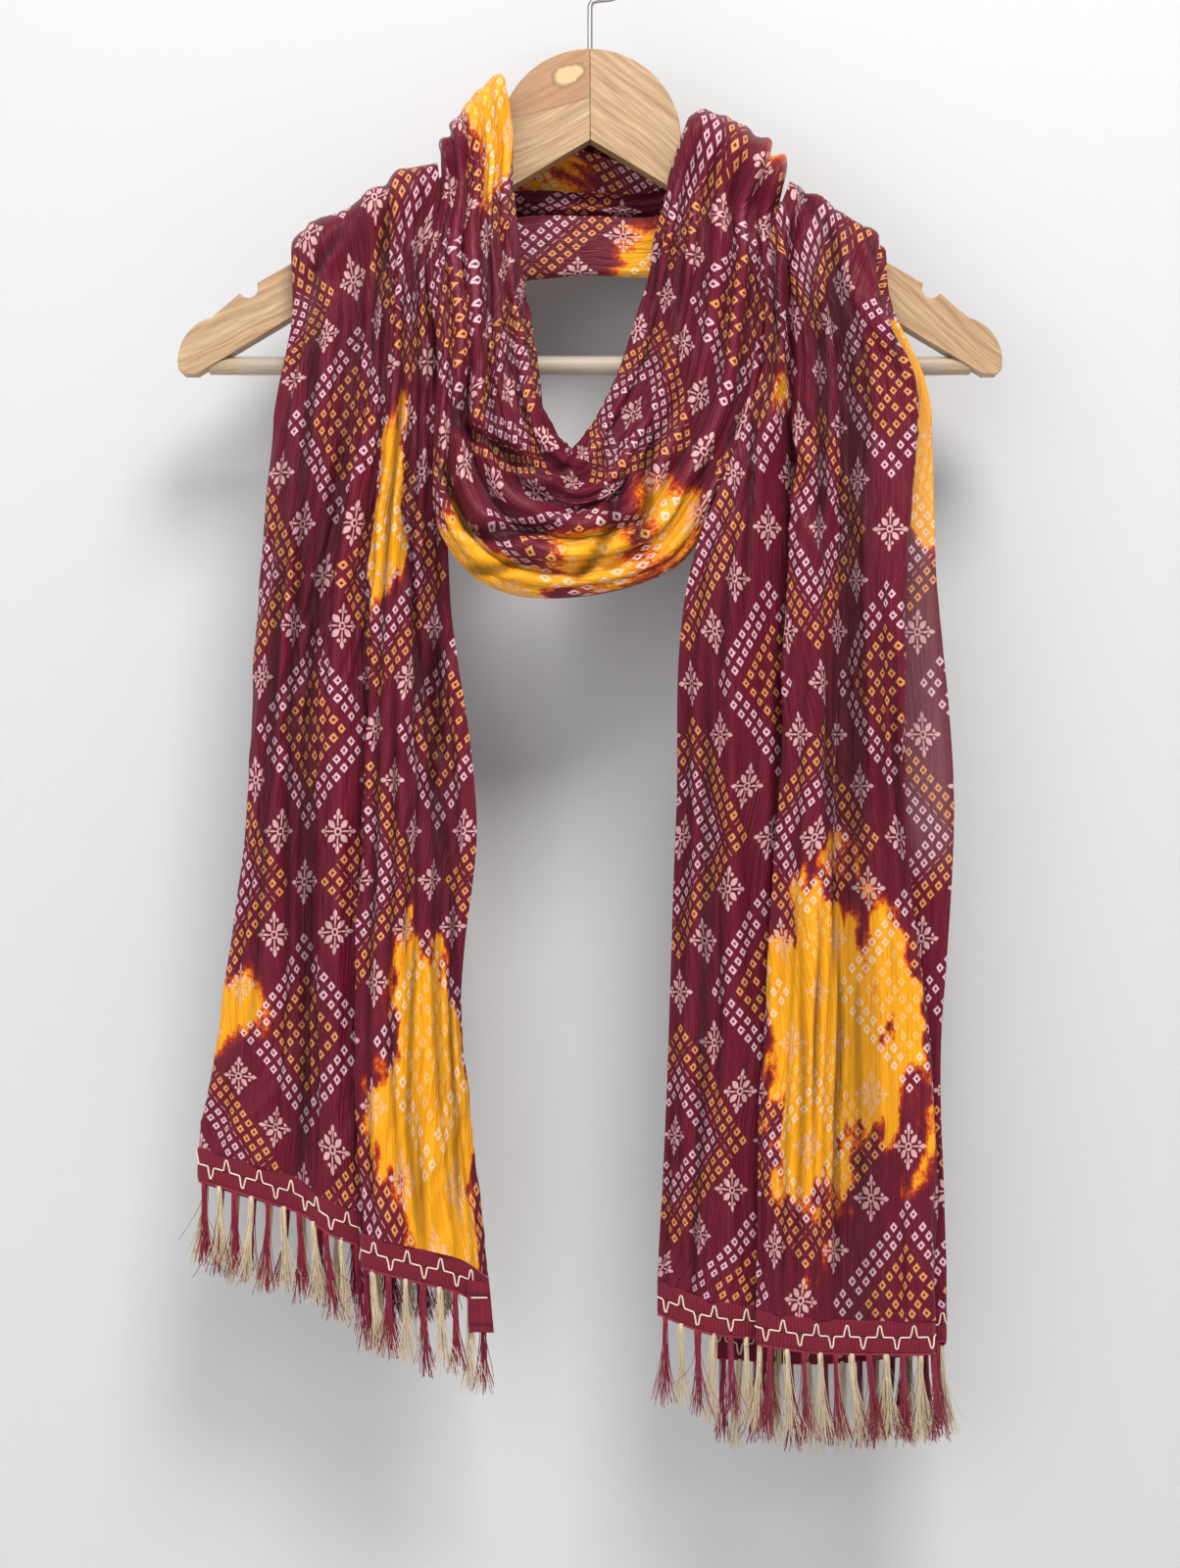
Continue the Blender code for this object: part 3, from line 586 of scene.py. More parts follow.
def crease_push(grid, folds, crease, shift):
    """How far a crease pushes each point to the front, fading out at its ends."""
    points = np.array(crease.points, float) + (shift, 0.0)
    best = np.full(grid.shape[:2], 1e9)
    travel = np.zeros(grid.shape[:2])
    total = lengths_along(points)
    flat = grid[:, :, [0, 2]]
    for index in range(len(points) - 1):
        leg = points[index + 1] - points[index]
        length = np.linalg.norm(leg)
        share = np.clip(((flat - points[index]) @ leg) / length**2, 0, 1)
        gap = np.linalg.norm(flat - points[index] - share[..., None] * leg, axis=2)
        nearer = gap < best
        best = np.where(nearer, gap, best)
        travel = np.where(nearer, total[index] + share * length, travel)
    fade = np.sin(np.pi * np.clip(travel / total[-1], 0.0, 1.0)) ** 0.6
    inside = np.clip(folds - crease.first_fold + 0.5, 0, 1) * np.clip(crease.last_fold + 0.5 - folds, 0, 1)
    trough = np.exp(-((best / crease.width) ** 2))
    shoulder = np.exp(-(((best - 2.1 * crease.width) / crease.width) ** 2))
    return crease.depth * (trough - 0.35 * shoulder) * fade * inside


def whole_cloth():
    """The fine grid of the whole stole, with each row's place and each column's fold number."""
    places = []
    spans = {}
    for stretch in STRETCHES:
        mine = route_places(stretch.start, stretch.end, stretch.step)
        spans[stretch.node] = (len(places), len(places) + len(mine))
        places.extend(mine)
    places = np.array(places)
    grid = cloth_rows(places, PER_FOLD)
    folds = np.arange(grid.shape[1]) / PER_FOLD
    return grid, places, folds, spans


def blurred_across(values, reach):
    """The values with each row smoothed over a run of columns."""
    weights = np.hanning(2 * reach + 3)[1:-1]
    weights /= weights.sum()
    padded = np.pad(values, ((0, 0), (reach, reach)), mode="edge")
    return np.array([np.convolve(row, weights, mode="valid") for row in padded])


def calm_ridges(grid, places, folds):
    """The front folds lie flatter where the cloth is pulled over the hanger."""
    strength = np.zeros_like(places)
    for name in RIDGES:
        strength += RIDGE_CALM * np.exp(-(((places - STATION_PLACE[name]) / RIDGE_REACH) ** 2))
    inside = np.clip(folds - FRONT_FOLD, 0, 1) * np.clip((FOLDS - 1 - folds) / 0.5, 0, 1)
    share = strength[:, None] * inside[None, :]
    for k in range(3):
        grid[:, :, k] += share * (blurred_across(grid[:, :, k], RIDGE_BLUR) - grid[:, :, k])
    return 1 - np.clip(strength, 0, 1)


def hollow_amount(grid, folds):
    """How far each front point lies behind those beside it, in millimetres."""
    front = -grid[:, :, 1]
    behind = blurred_across(front, HOLLOW_REACH) - front
    return np.clip(behind, 0, None) * np.clip(folds - FRONT_FOLD, 0, 1)[None, :]


def arc_lengths(grid):
    steps = np.linalg.norm(np.diff(grid, axis=1), axis=2)
    return np.concatenate([np.zeros((len(grid), 1)), np.cumsum(steps, axis=1)], axis=1)


def pleat_forms(arc, places):
    """How deep the pleats' troughs are, the ridges beside them, and the width that they hide."""
    trough = np.zeros_like(arc)
    ridge = np.zeros_like(arc)
    hidden = np.zeros_like(arc)
    rng = np.random.default_rng(17)
    every_row = np.arange(len(places))
    ridge_share, ridge_away, ridge_width = PLEAT_RIDGE
    for pleats in PLEATS:
        first = STATION_PLACE[pleats.start]
        last = STATION_PLACE[pleats.end]
        fade = np.clip(np.minimum(places - first, last - places) / PLEAT_FADE + 0.35, 0, 1)
        for fold in pleats.folds:
            seed = int(rng.integers(1000))
            depth = rng.uniform(pleats.shallow, pleats.deep)
            drift = smooth_noise(places / PLEAT_DRIFT_LENGTH, np.zeros_like(places), seed) * PLEAT_WANDER
            column = (fold + drift) * PER_FOLD
            low = np.floor(column).astype(int)
            share = column - low
            centre = arc[every_row, low] * (1 - share) + arc[every_row, low + 1] * share
            level = smooth_noise(places / PLEAT_UNEVEN_LENGTH + 9, np.zeros_like(places), seed + 1)
            now = (depth * fade * np.clip(0.62 + 0.55 * level, 0.05, 1.1))[:, None]
            away = arc - centre[:, None]
            trough += now * np.exp(-((away / PLEAT_WIDTH) ** 2))
            ridge += now * ridge_share * np.exp(-(((np.abs(away) - ridge_away) / ridge_width) ** 2))
            hidden += now * PLEAT_HIDES * 0.5 * (1 + np.tanh(away / PLEAT_WIDTH))
    return trough, ridge, hidden


def print_coordinates(arc, hidden, places):
    """Flat places on the cloth, in millimetres: across from the middle of the front, and along."""
    flat = arc * TAKE_UP + hidden
    middle = PRINT_FOLD * PER_FOLD
    marks = [0.0, STATION_PLACE["left_ridge"], STATION_PLACE["right_ridge"], ROUTE[-1]]
    shifts = np.array([LEFT_PRINT, LEFT_PRINT, RIGHT_PRINT, RIGHT_PRINT])
    across = flat - flat[:, middle : middle + 1] + np.interp(places, marks, shifts[:, 0])[:, None]
    along = places + np.interp(places, marks, shifts[:, 1])
    return across, np.repeat(along[:, None], arc.shape[1], axis=1)


def dye_amount(places, folds, across):
    """1 inside a tie-dyed patch and 0 outside, with an uneven edge."""
    amount = np.zeros((len(places), len(folds)))
    for number, patch in enumerate(PATCHES):
        centre = STATION_PLACE[patch.station] + patch.on
        down = (places[:, None] - centre) / patch.half_length
        over = (folds[None, :] - patch.fold) / patch.half_folds
        reach = np.sqrt(down**2 + over**2)
        ragged = 0.0
        for share, wide, long, seed in DYE_RAGGED:
            ragged = ragged + share * smooth_noise(across / wide, places[:, None] / long, seed + number)
        mine = 0.5 + (1 - reach + ragged) * min(patch.half_length, 60) / (2 * DYE_FEATHER)
        amount = np.maximum(amount, np.clip(mine, 0, 1))
    return amount


def sheer_amount(places, folds):
    """How much pale colour is painted on the single layer at the right tail's outer edge, as painted
    see-through for the lit wall behind it.
    """
    strip = np.clip(np.clip(1 - np.abs(folds - SHEER_FOLD) / SHEER_HALF_FOLDS, 0, 1) * SHEER_STEEP, 0, 1)
    last = STATION_PLACE["right_waist"] + SHEER_ON
    shown = np.clip(np.minimum(places - STATION_PLACE["right_front"], last - places) / SHEER_FADE, 0, 1)
    return shown[:, None] * strip[None, :] * SHEER_MOST


def crease_pushes(grid, folds, node):
    """How far all the stretch's creases push it to the front, on the shown layers and the hidden ones."""
    number = np.repeat(folds[None, :], len(grid), axis=0)
    gain, narrow = TAIL_CREASES if "tail" in node else BAND_CREASES
    for drawn in CREASES.get(node, ()):
        crease = drawn._replace(depth=drawn.depth * gain, width=drawn.width * narrow)
        hidden = crease._replace(first_fold=0, last_fold=crease.first_fold - 1)
        forward = crease_push(grid, number, crease, 0.0)
        forward += crease_push(grid, number, hidden, HIDDEN_SHIFT) * HIDDEN_DEPTH
        yield forward


def fine_cloth():
    """The shaped grid, its flat places, its fields for the material (dye, painted fold shade and painted
    see-through), and each stretch's span of rows.
    """
    grid, places, folds, spans = whole_cloth()
    calm = calm_ridges(grid, places, folds)
    arc = arc_lengths(grid)
    trough, ridge, hidden = pleat_forms(arc, places)
    across, along = print_coordinates(arc, hidden, places)
    front = np.clip((folds - 3.5) / 2, 0.45, 1.0)[None, :]
    push = ridge - trough
    for crinkle in CRINKLES:
        noise = smooth_noise(arc / crinkle.across + 50, along / crinkle.along + 50, crinkle.seed)
        push += crinkle.height * (1 - 2 * np.abs(noise)) * front * (0.45 + 0.55 * calm)[:, None]
    shaped = grid - grid_normals(grid) * push[..., None]
    # Painted shade: darker in pleat troughs, in hollows between the front folds and in crease troughs.
    shade = trough + hollow_amount(grid, folds) * PAINTED_SHADE_FULL_DEPTH / HOLLOW_DEPTH
    for node, (first, last) in spans.items():
        for forward in crease_pushes(grid[first:last], folds, node):
            shaped[first:last, :, 1] -= forward
            shade[first:last] += np.clip(-forward, 0, None) * CREASE_SHADE
    fields = {
        "dye": dye_amount(places, folds, across),
        "painted_fold_shade": np.clip(shade / PAINTED_SHADE_FULL_DEPTH, 0, 1),
        "painted_see_through": sheer_amount(places, folds),
    }
    return shaped, (across, along), fields, spans


# Materials


class Value:
    """A node's output. Sums and the like of it add more nodes."""

    def __init__(self, graph, socket):
        self.graph = graph
        self.socket = socket

    def do(self, operation, *others, clamp=False):
        inputs = dict(enumerate((self, *others)))
        return self.graph.node("ShaderNodeMath", 0, inputs, operation=operation, use_clamp=clamp)

    def __add__(self, other):
        return self.do("ADD", other)

    def __sub__(self, other):
        return self.do("SUBTRACT", other)

    def __rsub__(self, other):
        inputs = {0: other, 1: self}
        return self.graph.node("ShaderNodeMath", 0, inputs, operation="SUBTRACT")

    def __mul__(self, other):
        return self.do("MULTIPLY", other)

    def __abs__(self):
        return self.do("ABSOLUTE")

    def __gt__(self, limit):
        return self.do("GREATER_THAN", limit)

    def __lt__(self, limit):
        return self.do("LESS_THAN", limit)

    def scaled(self, gain, start, clamp=False):
        return self.do("MULTIPLY_ADD", gain, start, clamp=clamp)

    def edge(self, softness=PRINT_EDGE):
        """1 where the distance inside a form is positive, 0 outside, with a soft edge."""
        return self.scaled(1 / softness, 0.5, clamp=True)


class Graph:
    """Short calls that add nodes to a material."""

    def __init__(self, name):
        self.material = bpy.data.materials.new(name)
        self.material.use_nodes = True
        self.tree = self.material.node_tree

    def put(self, socket, value):
        if isinstance(value, Value):
            self.tree.links.new(value.socket, socket)
        else:
            socket.default_value = value

    def node(self, kind, output=0, inputs=None, **settings):
        made = self.tree.nodes.new(kind)
        for name, value in settings.items():
            setattr(made, name, value)
        for name, value in (inputs or {}).items():
            self.put(made.inputs[name], value)
        return Value(self, made.outputs[output])

    def place(self):
        return self.node("ShaderNodeTexCoord", "Object")

    def noise(self, vector, scale, detail=2.0, rough=0.5, distortion=0.0):
        names = ("Vector", "Scale", "Detail", "Roughness", "Distortion")
        inputs = dict(zip(names, (vector, scale, detail, rough, distortion)))
        return self.node("ShaderNodeTexNoise", "Fac", inputs)

    def grain(self, places, scales, detail=2.0, rough=0.5, distortion=0.0):
        """Noise with its own scale in each direction."""
        scaled = [place * scale for place, scale in zip(places, scales)]
        return self.noise(self.vector(*scaled), 1.0, detail, rough, distortion)

    def vector(self, x, y, z=0.0):
        return self.node("ShaderNodeCombineXYZ", 0, {0: x, 1: y, 2: z})

    def parts(self, vector):
        made = self.node("ShaderNodeSeparateXYZ", 0, {0: vector}).socket.node
        return [Value(self, output) for output in made.outputs]

    def mix(self, share, *colours, blend="MIX"):
        first, second = (colour if isinstance(colour, Value) else (*colour, 1.0) for colour in colours)
        inputs = {"Factor": share, 6: first, 7: second}
        return self.node("ShaderNodeMix", 2, inputs, data_type="RGBA", blend_type=blend)

    def ramp(self, value, stops):
        made = self.node("ShaderNodeValToRGB", 0, {0: value})
        elements = made.socket.node.color_ramp.elements
        while len(elements) < len(stops):
            elements.new(0.5)
        for element, (place, colour) in zip(elements, stops):
            element.position = place
            element.color = (*colour, 1.0)
        return made

    def attribute(self, name):
        return self.node("ShaderNodeAttribute", "Fac", attribute_name=name)

    def bump(self, height, strength, distance, **normal):
        inputs = {"Height": height, "Strength": strength, "Distance": distance, **normal}
        return self.node("ShaderNodeBump", 0, inputs)

    def principled(self, colour, roughness, normal, **others):
        """Sets the shader's inputs, whose names have _ for a space."""
        shader = self.tree.nodes["Principled BSDF"]
        values = {"Base_Color": colour, "Roughness": roughness, "Normal": normal, **others}
        for name, value in values.items():
            value = (*value, 1.0) if isinstance(value, tuple) else value
            self.put(shader.inputs[name.replace("_", " ")], value)
        return self.material


def choose(share, first, second):
    """first where the share is 0, second where it is 1."""
    return first + share * (second - first)


def odd(number):
    return (number * 0.5).do("FRACT") * 2.0


def band(ring, low, high):
    """1 where a whole number lies from low to high."""
    return (ring > low - 0.5) * (ring < high + 0.5)


def medallion_squares(x, y, is_second):
    """Masks of the pale and the orange squares that ring each medallion's middle."""
    counts = []
    gaps = []
    for distance in (abs(x), abs(y)):
        steps = distance * (1 / SQUARE_PITCH)
        first_shift = (steps > FIRST_GAP_RING) * FIRST_GAP_SHIFT
        second_shift = (steps > SECOND_GAP_RING).scaled(SECOND_GAP_SHIFT, 1.0)
        shifted = steps + choose(is_second, first_shift, second_shift)
        count = shifted.do("ROUND")
        counts.append(count)
        gaps.append(abs(shifted - count) * SQUARE_PITCH)
    ring = counts[0].do("MAXIMUM", counts[1])
    reach = gaps[0].do("MAXIMUM", gaps[1])
    square = (SQUARE_HALF - reach).edge() * (reach - SQUARE_HOLE).edge()
    first_orange = (ring < 3.5) * odd(counts[0]).do("MAXIMUM", odd(counts[1]))
    orange = choose(is_second, first_orange, band(ring, 6, 7))
    return square * band(ring, 4, 5), square * orange


def almond(run, side, middle, half, width):
    reach = (run - middle) * (1 / half)
    return (1.0 - reach * reach) * width - side


def flower_mask(x, y):
    """A flower with four almond petals on the slants, four fleur tips upright and level, and a ringed eye."""
    level = abs((x - y) * SLANT)
    upright = abs((x + y) * SLANT)
    along = level.do("MAXIMUM", upright)
    aside = level.do("MINIMUM", upright)
    slant_x = abs(x)
    slant_y = abs(y)
    lobe_run = along - LOBE_PLACE[0]
    lobe_side = aside - LOBE_PLACE[1]
    inside = almond(slant_x.do("MAXIMUM", slant_y), slant_x.do("MINIMUM", slant_y), *PETAL)
    for form in (
        almond(along, aside, *TIP),
        almond(along, aside, *STEM),
        1.0 - (lobe_run * lobe_run + lobe_side * lobe_side).do("SQRT"),
        EYE_HALF_WIDTH - abs((x * x + y * y).do("SQRT") - EYE_RADIUS),
    ):
        inside = inside.do("MAXIMUM", form)
    return inside.edge()


def nearest(value, pitch, start):
    """How far the value is from the nearest of start, start + pitch and so on."""
    moved = value - start
    return moved - (moved * (1 / pitch)).do("ROUND") * pitch


def print_masks(across, along):
    a = (across + along) * SLANT
    b = (along - across) * SLANT
    cell_a = (a * (1 / CELL)).do("ROUND")
    cell_b = (b * (1 / CELL)).do("ROUND")
    x = a - cell_a * CELL
    y = b - cell_b * CELL
    is_second = odd(cell_a + cell_b)
    pale, orange = medallion_squares(x, y, is_second)
    line_a = nearest(a, CELL, CELL / 2)
    line_b = nearest(b, CELL, CELL / 2)
    on_a = nearest(a, CELL / 3, CELL / 6)
    on_b = nearest(b, CELL / 3, CELL / 6)
    nearer_b = abs(line_a) > abs(line_b)
    in_heart = is_second * (abs(x).do("MAXIMUM", abs(y)) < HEART_REACH)
    flower_x = choose(in_heart, choose(nearer_b, line_a, on_a), x)
    flower_y = choose(in_heart, choose(nearer_b, on_b, line_b), y)
    return pale, orange, flower_mask(flower_x, flower_y)


def silk_material():
    g = Graph("bandhani_silk")
    uv = g.node("ShaderNodeUVMap", uv_map="print")
    across, along, _ = g.parts(uv)
    wobble = g.noise(uv, 0.11, 1.0).scaled(1.0, -0.5)
    wobble_on = g.noise(g.vector(along, across, 7.0), 0.13, 1.0).scaled(1.0, -0.5)
    pale, orange, flower = print_masks(across + wobble, along + wobble_on)

    streaks = g.grain((across, along), (0.5, 0.035), 4.0, 0.6)
    blotches = g.noise(uv, 0.035, 3.0, 0.6)
    threads = g.grain((across, along), (2.4, 0.25))
    weave = threads + g.grain((across, along), (0.25, 2.6))
    grain = g.noise(uv, 1.3, 2.0, 0.7)

    maroon = g.mix(streaks, (0.080, 0.0016, 0.011), (0.190, 0.0045, 0.026))
    maroon = g.mix(blotches * 0.5, maroon, (0.115, 0.0028, 0.012))
    gold = g.mix(streaks, (0.80, 0.285, 0.002), (0.98, 0.46, 0.009))
    bleed = g.noise(uv, 0.3, 5.0, 0.75).scaled(1.5, -0.75) + threads.scaled(0.5, -0.25)
    dye = g.attribute("dye")
    dyed = dye.do("ADD", bleed * (dye * (1.0 - dye) * 4.0), clamp=True)
    colour = g.mix((dyed - 0.16).edge(0.3), maroon, g.ramp(dyed, DYE_EDGE))
    colour = g.mix((dyed - 0.72).edge(0.2), colour, gold)

    worn = grain.scaled(1.5, 0.02, clamp=True)
    for mask, gain, least, on_maroon, on_gold in (
        (flower, 0.35, 0.58, (0.76, 0.44, 0.44), (0.84, 0.46, 0.26)),
        (orange, 0.3, 0.65, (0.80, 0.34, 0.10), (0.90, 0.50, 0.16)),
        (pale, 0.3, 0.65, (0.82, 0.52, 0.60), (0.90, 0.64, 0.44)),
    ):
        colour = g.mix(mask * worn.scaled(gain, least), colour, g.mix(dyed, on_maroon, on_gold))
    # Painted see-through: a pale grey colour stands for the lit wall showing through the single layer.
    painted_see_through = g.attribute("painted_see_through") * grain.scaled(0.5, 0.1, clamp=True)
    colour = g.mix(painted_see_through, colour, (0.42, 0.33, 0.34))
    # Painted shade, darker in pleat troughs, fold hollows and crease troughs, multiplied with the weave's own
    # tone.
    shade = weave.scaled(0.26, 0.74) * g.attribute("painted_fold_shade").scaled(-0.62, 1.0)
    colour = g.mix(1.0, colour, g.vector(shade, shade, shade), blend="MULTIPLY")

    relief = g.grain((across, along), (0.34, 0.022), 3.0, 0.55, 0.4)
    normal = g.bump(abs(relief - 0.5), 0.75, 0.004)
    normal = g.bump(weave, 0.12, 0.0003, Normal=normal)
    return g.principled(
        colour, grain.scaled(0.16, 0.4), normal, Specular_IOR_Level=0.26,
        Sheen_Weight=0.05, Sheen_Roughness=0.45, Sheen_Tint=(1.0, 0.4, 0.45),
    )


def thread_material(name, dark, light, roughness):
    g = Graph(name)
    colour = g.mix(g.noise(g.place(), 900.0), dark, light)
    colour = g.mix(g.noise(g.place(), 70.0) * 0.35, colour, dark)
    normal = g.bump(g.noise(g.place(), 2600.0, 1.0), 0.25, 0.0002)
    return g.principled(
        colour, roughness, normal, Specular_IOR_Level=0.35, Sheen_Weight=0.12, Sheen_Roughness=0.4
    )


def tape_material():
    g = Graph("ribbed_tape")
    across, along, _ = g.parts(g.node("ShaderNodeUVMap", uv_map="print"))
    rib = (across * (2 * math.pi / RIB_PITCH)).do("SINE")
    fuzz = g.noise(g.vector(across, along), 2.2, 3.0, 0.6)
    groove = abs(along - GROOVE_FRONT).do("MINIMUM", abs(along - GROOVE_BACK))
    # Painted shade of the ribs: the colour runs darker and lighter in stripes at the rib pitch.
    colour = g.mix(rib.scaled(0.22, 0.6, clamp=True), (0.06, 0.0015, 0.009), (0.24, 0.007, 0.030))
    # Painted shade: a near-black line along each of the tape's two grooves.
    colour = g.mix((1.0 - groove).edge(0.5) * 0.8, colour, (0.03, 0.001, 0.005))
    colour = g.mix(fuzz * 0.45, colour, (0.17, 0.008, 0.028))
    return g.principled(
        colour, 0.62, g.bump(rib + fuzz, 0.5, 0.0004), Specular_IOR_Level=0.25,
        Sheen_Weight=0.2, Sheen_Roughness=0.5, Sheen_Tint=(1.0, 0.6, 0.65),
    )


def wood_material(name, grain_angle, pale=WOOD_PALE, dark=WOOD_DARK, knot=None):
    """Sawn pale wood whose grain runs at an angle from +X towards +Z."""
    g = Graph(name)
    x, y, z = g.parts(g.place())
    sine = math.sin(grain_angle)
    cosine = math.cos(grain_angle)
    along = x * cosine + z * sine
    over = z * cosine - x * sine
    bend = g.grain((along, over, y), (9.0, 14.0, 6.0))
    over = over + bend.scaled(0.018, -0.009)
    broad = g.grain((along, over, y), (7.0, 130.0, 60.0), 3.0, 0.6)
    fine = g.grain((along, over, y), (40.0, 900.0, 500.0), 3.0, 0.6)
    pore = g.grain((along, over, y), (160.0, 2600.0, 1500.0), 1.0) > 0.66
    rings = broad.scaled(26.0, over * 1300.0).do("SINE")
    colour = g.mix(rings.scaled(0.36, 0.3, clamp=True), pale, dark)
    colour = g.mix(broad.scaled(1.6, -0.55, clamp=True), colour, WOOD_BRIGHT)
    colour = g.mix(fine.scaled(2.6, -0.9, clamp=True) * 0.7, colour, dark)
    colour = g.mix(pore * 0.35, colour, WOOD_DARK)
    if knot is not None:
        swirl = g.noise(g.place(), 90.0, 3.0, 0.6)
        off_x = x - knot[0] * MM
        off_z = z - knot[1] * MM
        run = (off_x * cosine + off_z * sine) * KNOT_SQUASH
        side = off_z * cosine - off_x * sine
        reach = (run * run + side * side).do("SQRT") + swirl.scaled(0.008, -0.004)
        line = z - x.scaled(HEARTWOOD_SLOPE, HEARTWOOD_Z * MM) + bend.scaled(0.006, -0.003)
        stain = line.edge(0.0012) * swirl.scaled(0.9, 0.35, clamp=True)
        seam = (0.0006 - abs(line)).edge(0.0007)
        heart = (knot[2] * 0.62 * MM - reach).edge(0.0016)
        rim = (0.0009 - abs(reach - knot[2] * 0.66 * MM)).edge(0.0009)
        for share, tint in (
            (seam * 0.6, (0.22, 0.11, 0.04)),
            (stain * 0.75, (0.37, 0.165, 0.07)),
            (heart * 0.8, (0.74, 0.50, 0.25)),
            (rim * 0.45, (0.16, 0.07, 0.03)),
        ):
            colour = g.mix(share, colour, tint)
    normal = g.bump(fine + pore * -0.6, 0.25, 0.0005)
    return g.principled(
        colour, fine.scaled(0.2, 0.38), normal, Specular_IOR_Level=0.45, Coat_Weight=0.12, Coat_Roughness=0.3
    )


def sleeve_material():
    g = Graph("clear_sleeve")
    x = g.parts(g.place())[0]
    ribs = (x * (2 * math.pi / SLEEVE_RIB)).do("SINE")
    haze = g.noise(g.place(), 260.0, 3.0)
    colour = g.mix(haze * 0.4, (0.96, 0.94, 0.90), (0.84, 0.80, 0.74))
    normal = g.bump(ribs + haze, 0.35, 0.0003)
    return g.principled(
        colour, haze.scaled(0.2, 0.08), normal, Alpha=0.13, IOR=1.46, Specular_IOR_Level=0.7
    )


def steel_material():
    g = Graph("steel_wire")
    scratch = g.grain(g.parts(g.place()), (700.0, 700.0, 60.0), 3.0)
    colour = g.mix(scratch, (0.42, 0.42, 0.43), (0.68, 0.68, 0.69))
    return g.principled(colour, scratch.scaled(0.22, 0.2), g.bump(scratch, 0.1, 0.0002), Metallic=1.0)


# Pieces


def link_piece(name, mesh, material, slot):
    mesh.shade_smooth()
    made = bpy.data.objects.new(name, mesh)
    bpy.context.scene.collection.objects.link(made)
    mesh.materials.append(material)
    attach(made, BODY)
    return made


def add_mesh(name, vertices, faces, material, slot):
    mesh = bpy.data.meshes.new(name)
    mesh.from_pydata([tuple(v) for v in np.asarray(vertices) * MM], [], [tuple(f) for f in faces])
    mesh.update()
    return link_piece(name, mesh, material, slot)


def add_grid(name, grid, flat, material, slot):
    """A sheet from a grid of points, with each point's flat place for the material."""
    rows, columns = grid.shape[:2]
    low = (np.arange(rows - 1)[:, None] * columns + np.arange(columns - 1)[None, :]).ravel()
    faces = np.stack([low, low + 1, low + columns + 1, low + columns], axis=1)
    made = add_mesh(name, grid.reshape(-1, 3), faces, material, slot)
    corners = np.zeros(len(made.data.loops), np.int32)
    made.data.loops.foreach_get("vertex_index", corners)
    layer = made.data.uv_layers.new(name="print")
    layer.data.foreach_set("uv", np.stack(flat, axis=2).reshape(-1, 2).astype(np.float32)[corners].ravel())
    return made


def add_cloth(silk):
    grid, flat, fields, spans = fine_cloth()
    pieces = {}
    for node, (first, last) in spans.items():
        places = [side[first:last] for side in flat]
        made = add_grid(f"{node}_silk", grid[first:last], places, silk, "silk")
        for name, field in fields.items():
            layer = made.data.attributes.new(name, "FLOAT", "POINT")
            layer.data.foreach_set("value", field[first:last].astype(np.float32).ravel())
        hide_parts(node)
        pieces[node] = made
    return pieces


def hem_line(side, below, per_fold=PER_FOLD):
    return cloth_rows([STATION_PLACE[f"{side}_hem"]], per_fold)[0] - (0, 0, below)


def row_at(row, lengths, marks):
    return np.stack([np.interp(marks, lengths, row[:, k]) for k in range(3)], axis=1)


def even_row(row, step):
    """The same row with points an even step apart, and its lengths."""
    lengths = lengths_along(row)
    marks = np.linspace(0, lengths[-1], max(2, int(lengths[-1] / step)))
    return row_at(row, lengths, marks), marks


def sideways(row):
    """Level unit vectors square to a row of points."""
    along = np.gradient(row, axis=0)
    square = np.stack([along[:, 1], -along[:, 0], np.zeros(len(row))], axis=1)
    return square / np.linalg.norm(square, axis=1, keepdims=True)


def add_tape(side, material):
    row, marks = even_row(hem_line(side, SEAM_GAP), 1 / TAPE_POINTS_PER_MM)
    out = sideways(row)
    rib = RIB_HEIGHT * np.cos(marks * 2 * math.pi / RIB_PITCH)[:, None]
    layers = []
    for sign, order in ((1, TAPE_ROWS), (-1, TAPE_ROWS[::-1])):
        for share, swell in order:
            drop = np.array((0, 0, (TAPE_HEIGHT + TAPE_LAP + TAPE_FOOT) * share - TAPE_LAP))
            thick = np.maximum(swell * TAPE_SWELL + rib * min(1.0, swell), TAPE_EDGE)
            layers.append(row - drop + out * sign * thick)
    layers.append(layers[0])
    flat = np.meshgrid(marks, np.arange(len(layers)) * TAPE_ROW_STEP)
    made = add_grid(f"{side}_hem_tape_ribs", np.array(layers), flat, material, "tape")
    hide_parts(f"{side}_hem_tape")
    return made


def ring_faces(rings, sides, wraps=False):
    """Quads that join each ring to the next one, and the last to the first where it wraps."""
    faces = []
    for ring in range(rings if wraps else rings - 1):
        on = (ring + 1) % rings
        for k in range(sides):
            far = (k + 1) % sides
            faces.append((ring * sides + k, ring * sides + far, on * sides + far, on * sides + k))
    return faces


def tube(points, radii, sides):
    """Vertices and faces of an open tube round a run of points."""
    points = np.asarray(points, float)
    along = np.gradient(points, axis=0)
    along /= np.linalg.norm(along, axis=1, keepdims=True)
    guide = np.array([0.0, 0.0, 1.0])
    if abs(along[:, 2]).mean() > 0.7:
        guide = np.array([0.0, 1.0, 0.0])
    first = np.cross(along, guide)
    first /= np.maximum(np.linalg.norm(first, axis=1, keepdims=True), 1e-9)
    second = np.cross(along, first)
    angles = (np.arange(sides) * 2 * math.pi / sides)[None, :, None]
    ring = np.cos(angles) * first[:, None, :] + np.sin(angles) * second[:, None, :]
    vertices = (points[:, None, :] + ring * np.asarray(radii)[:, None, None]).reshape(-1, 3)
    return vertices, ring_faces(len(points), sides)


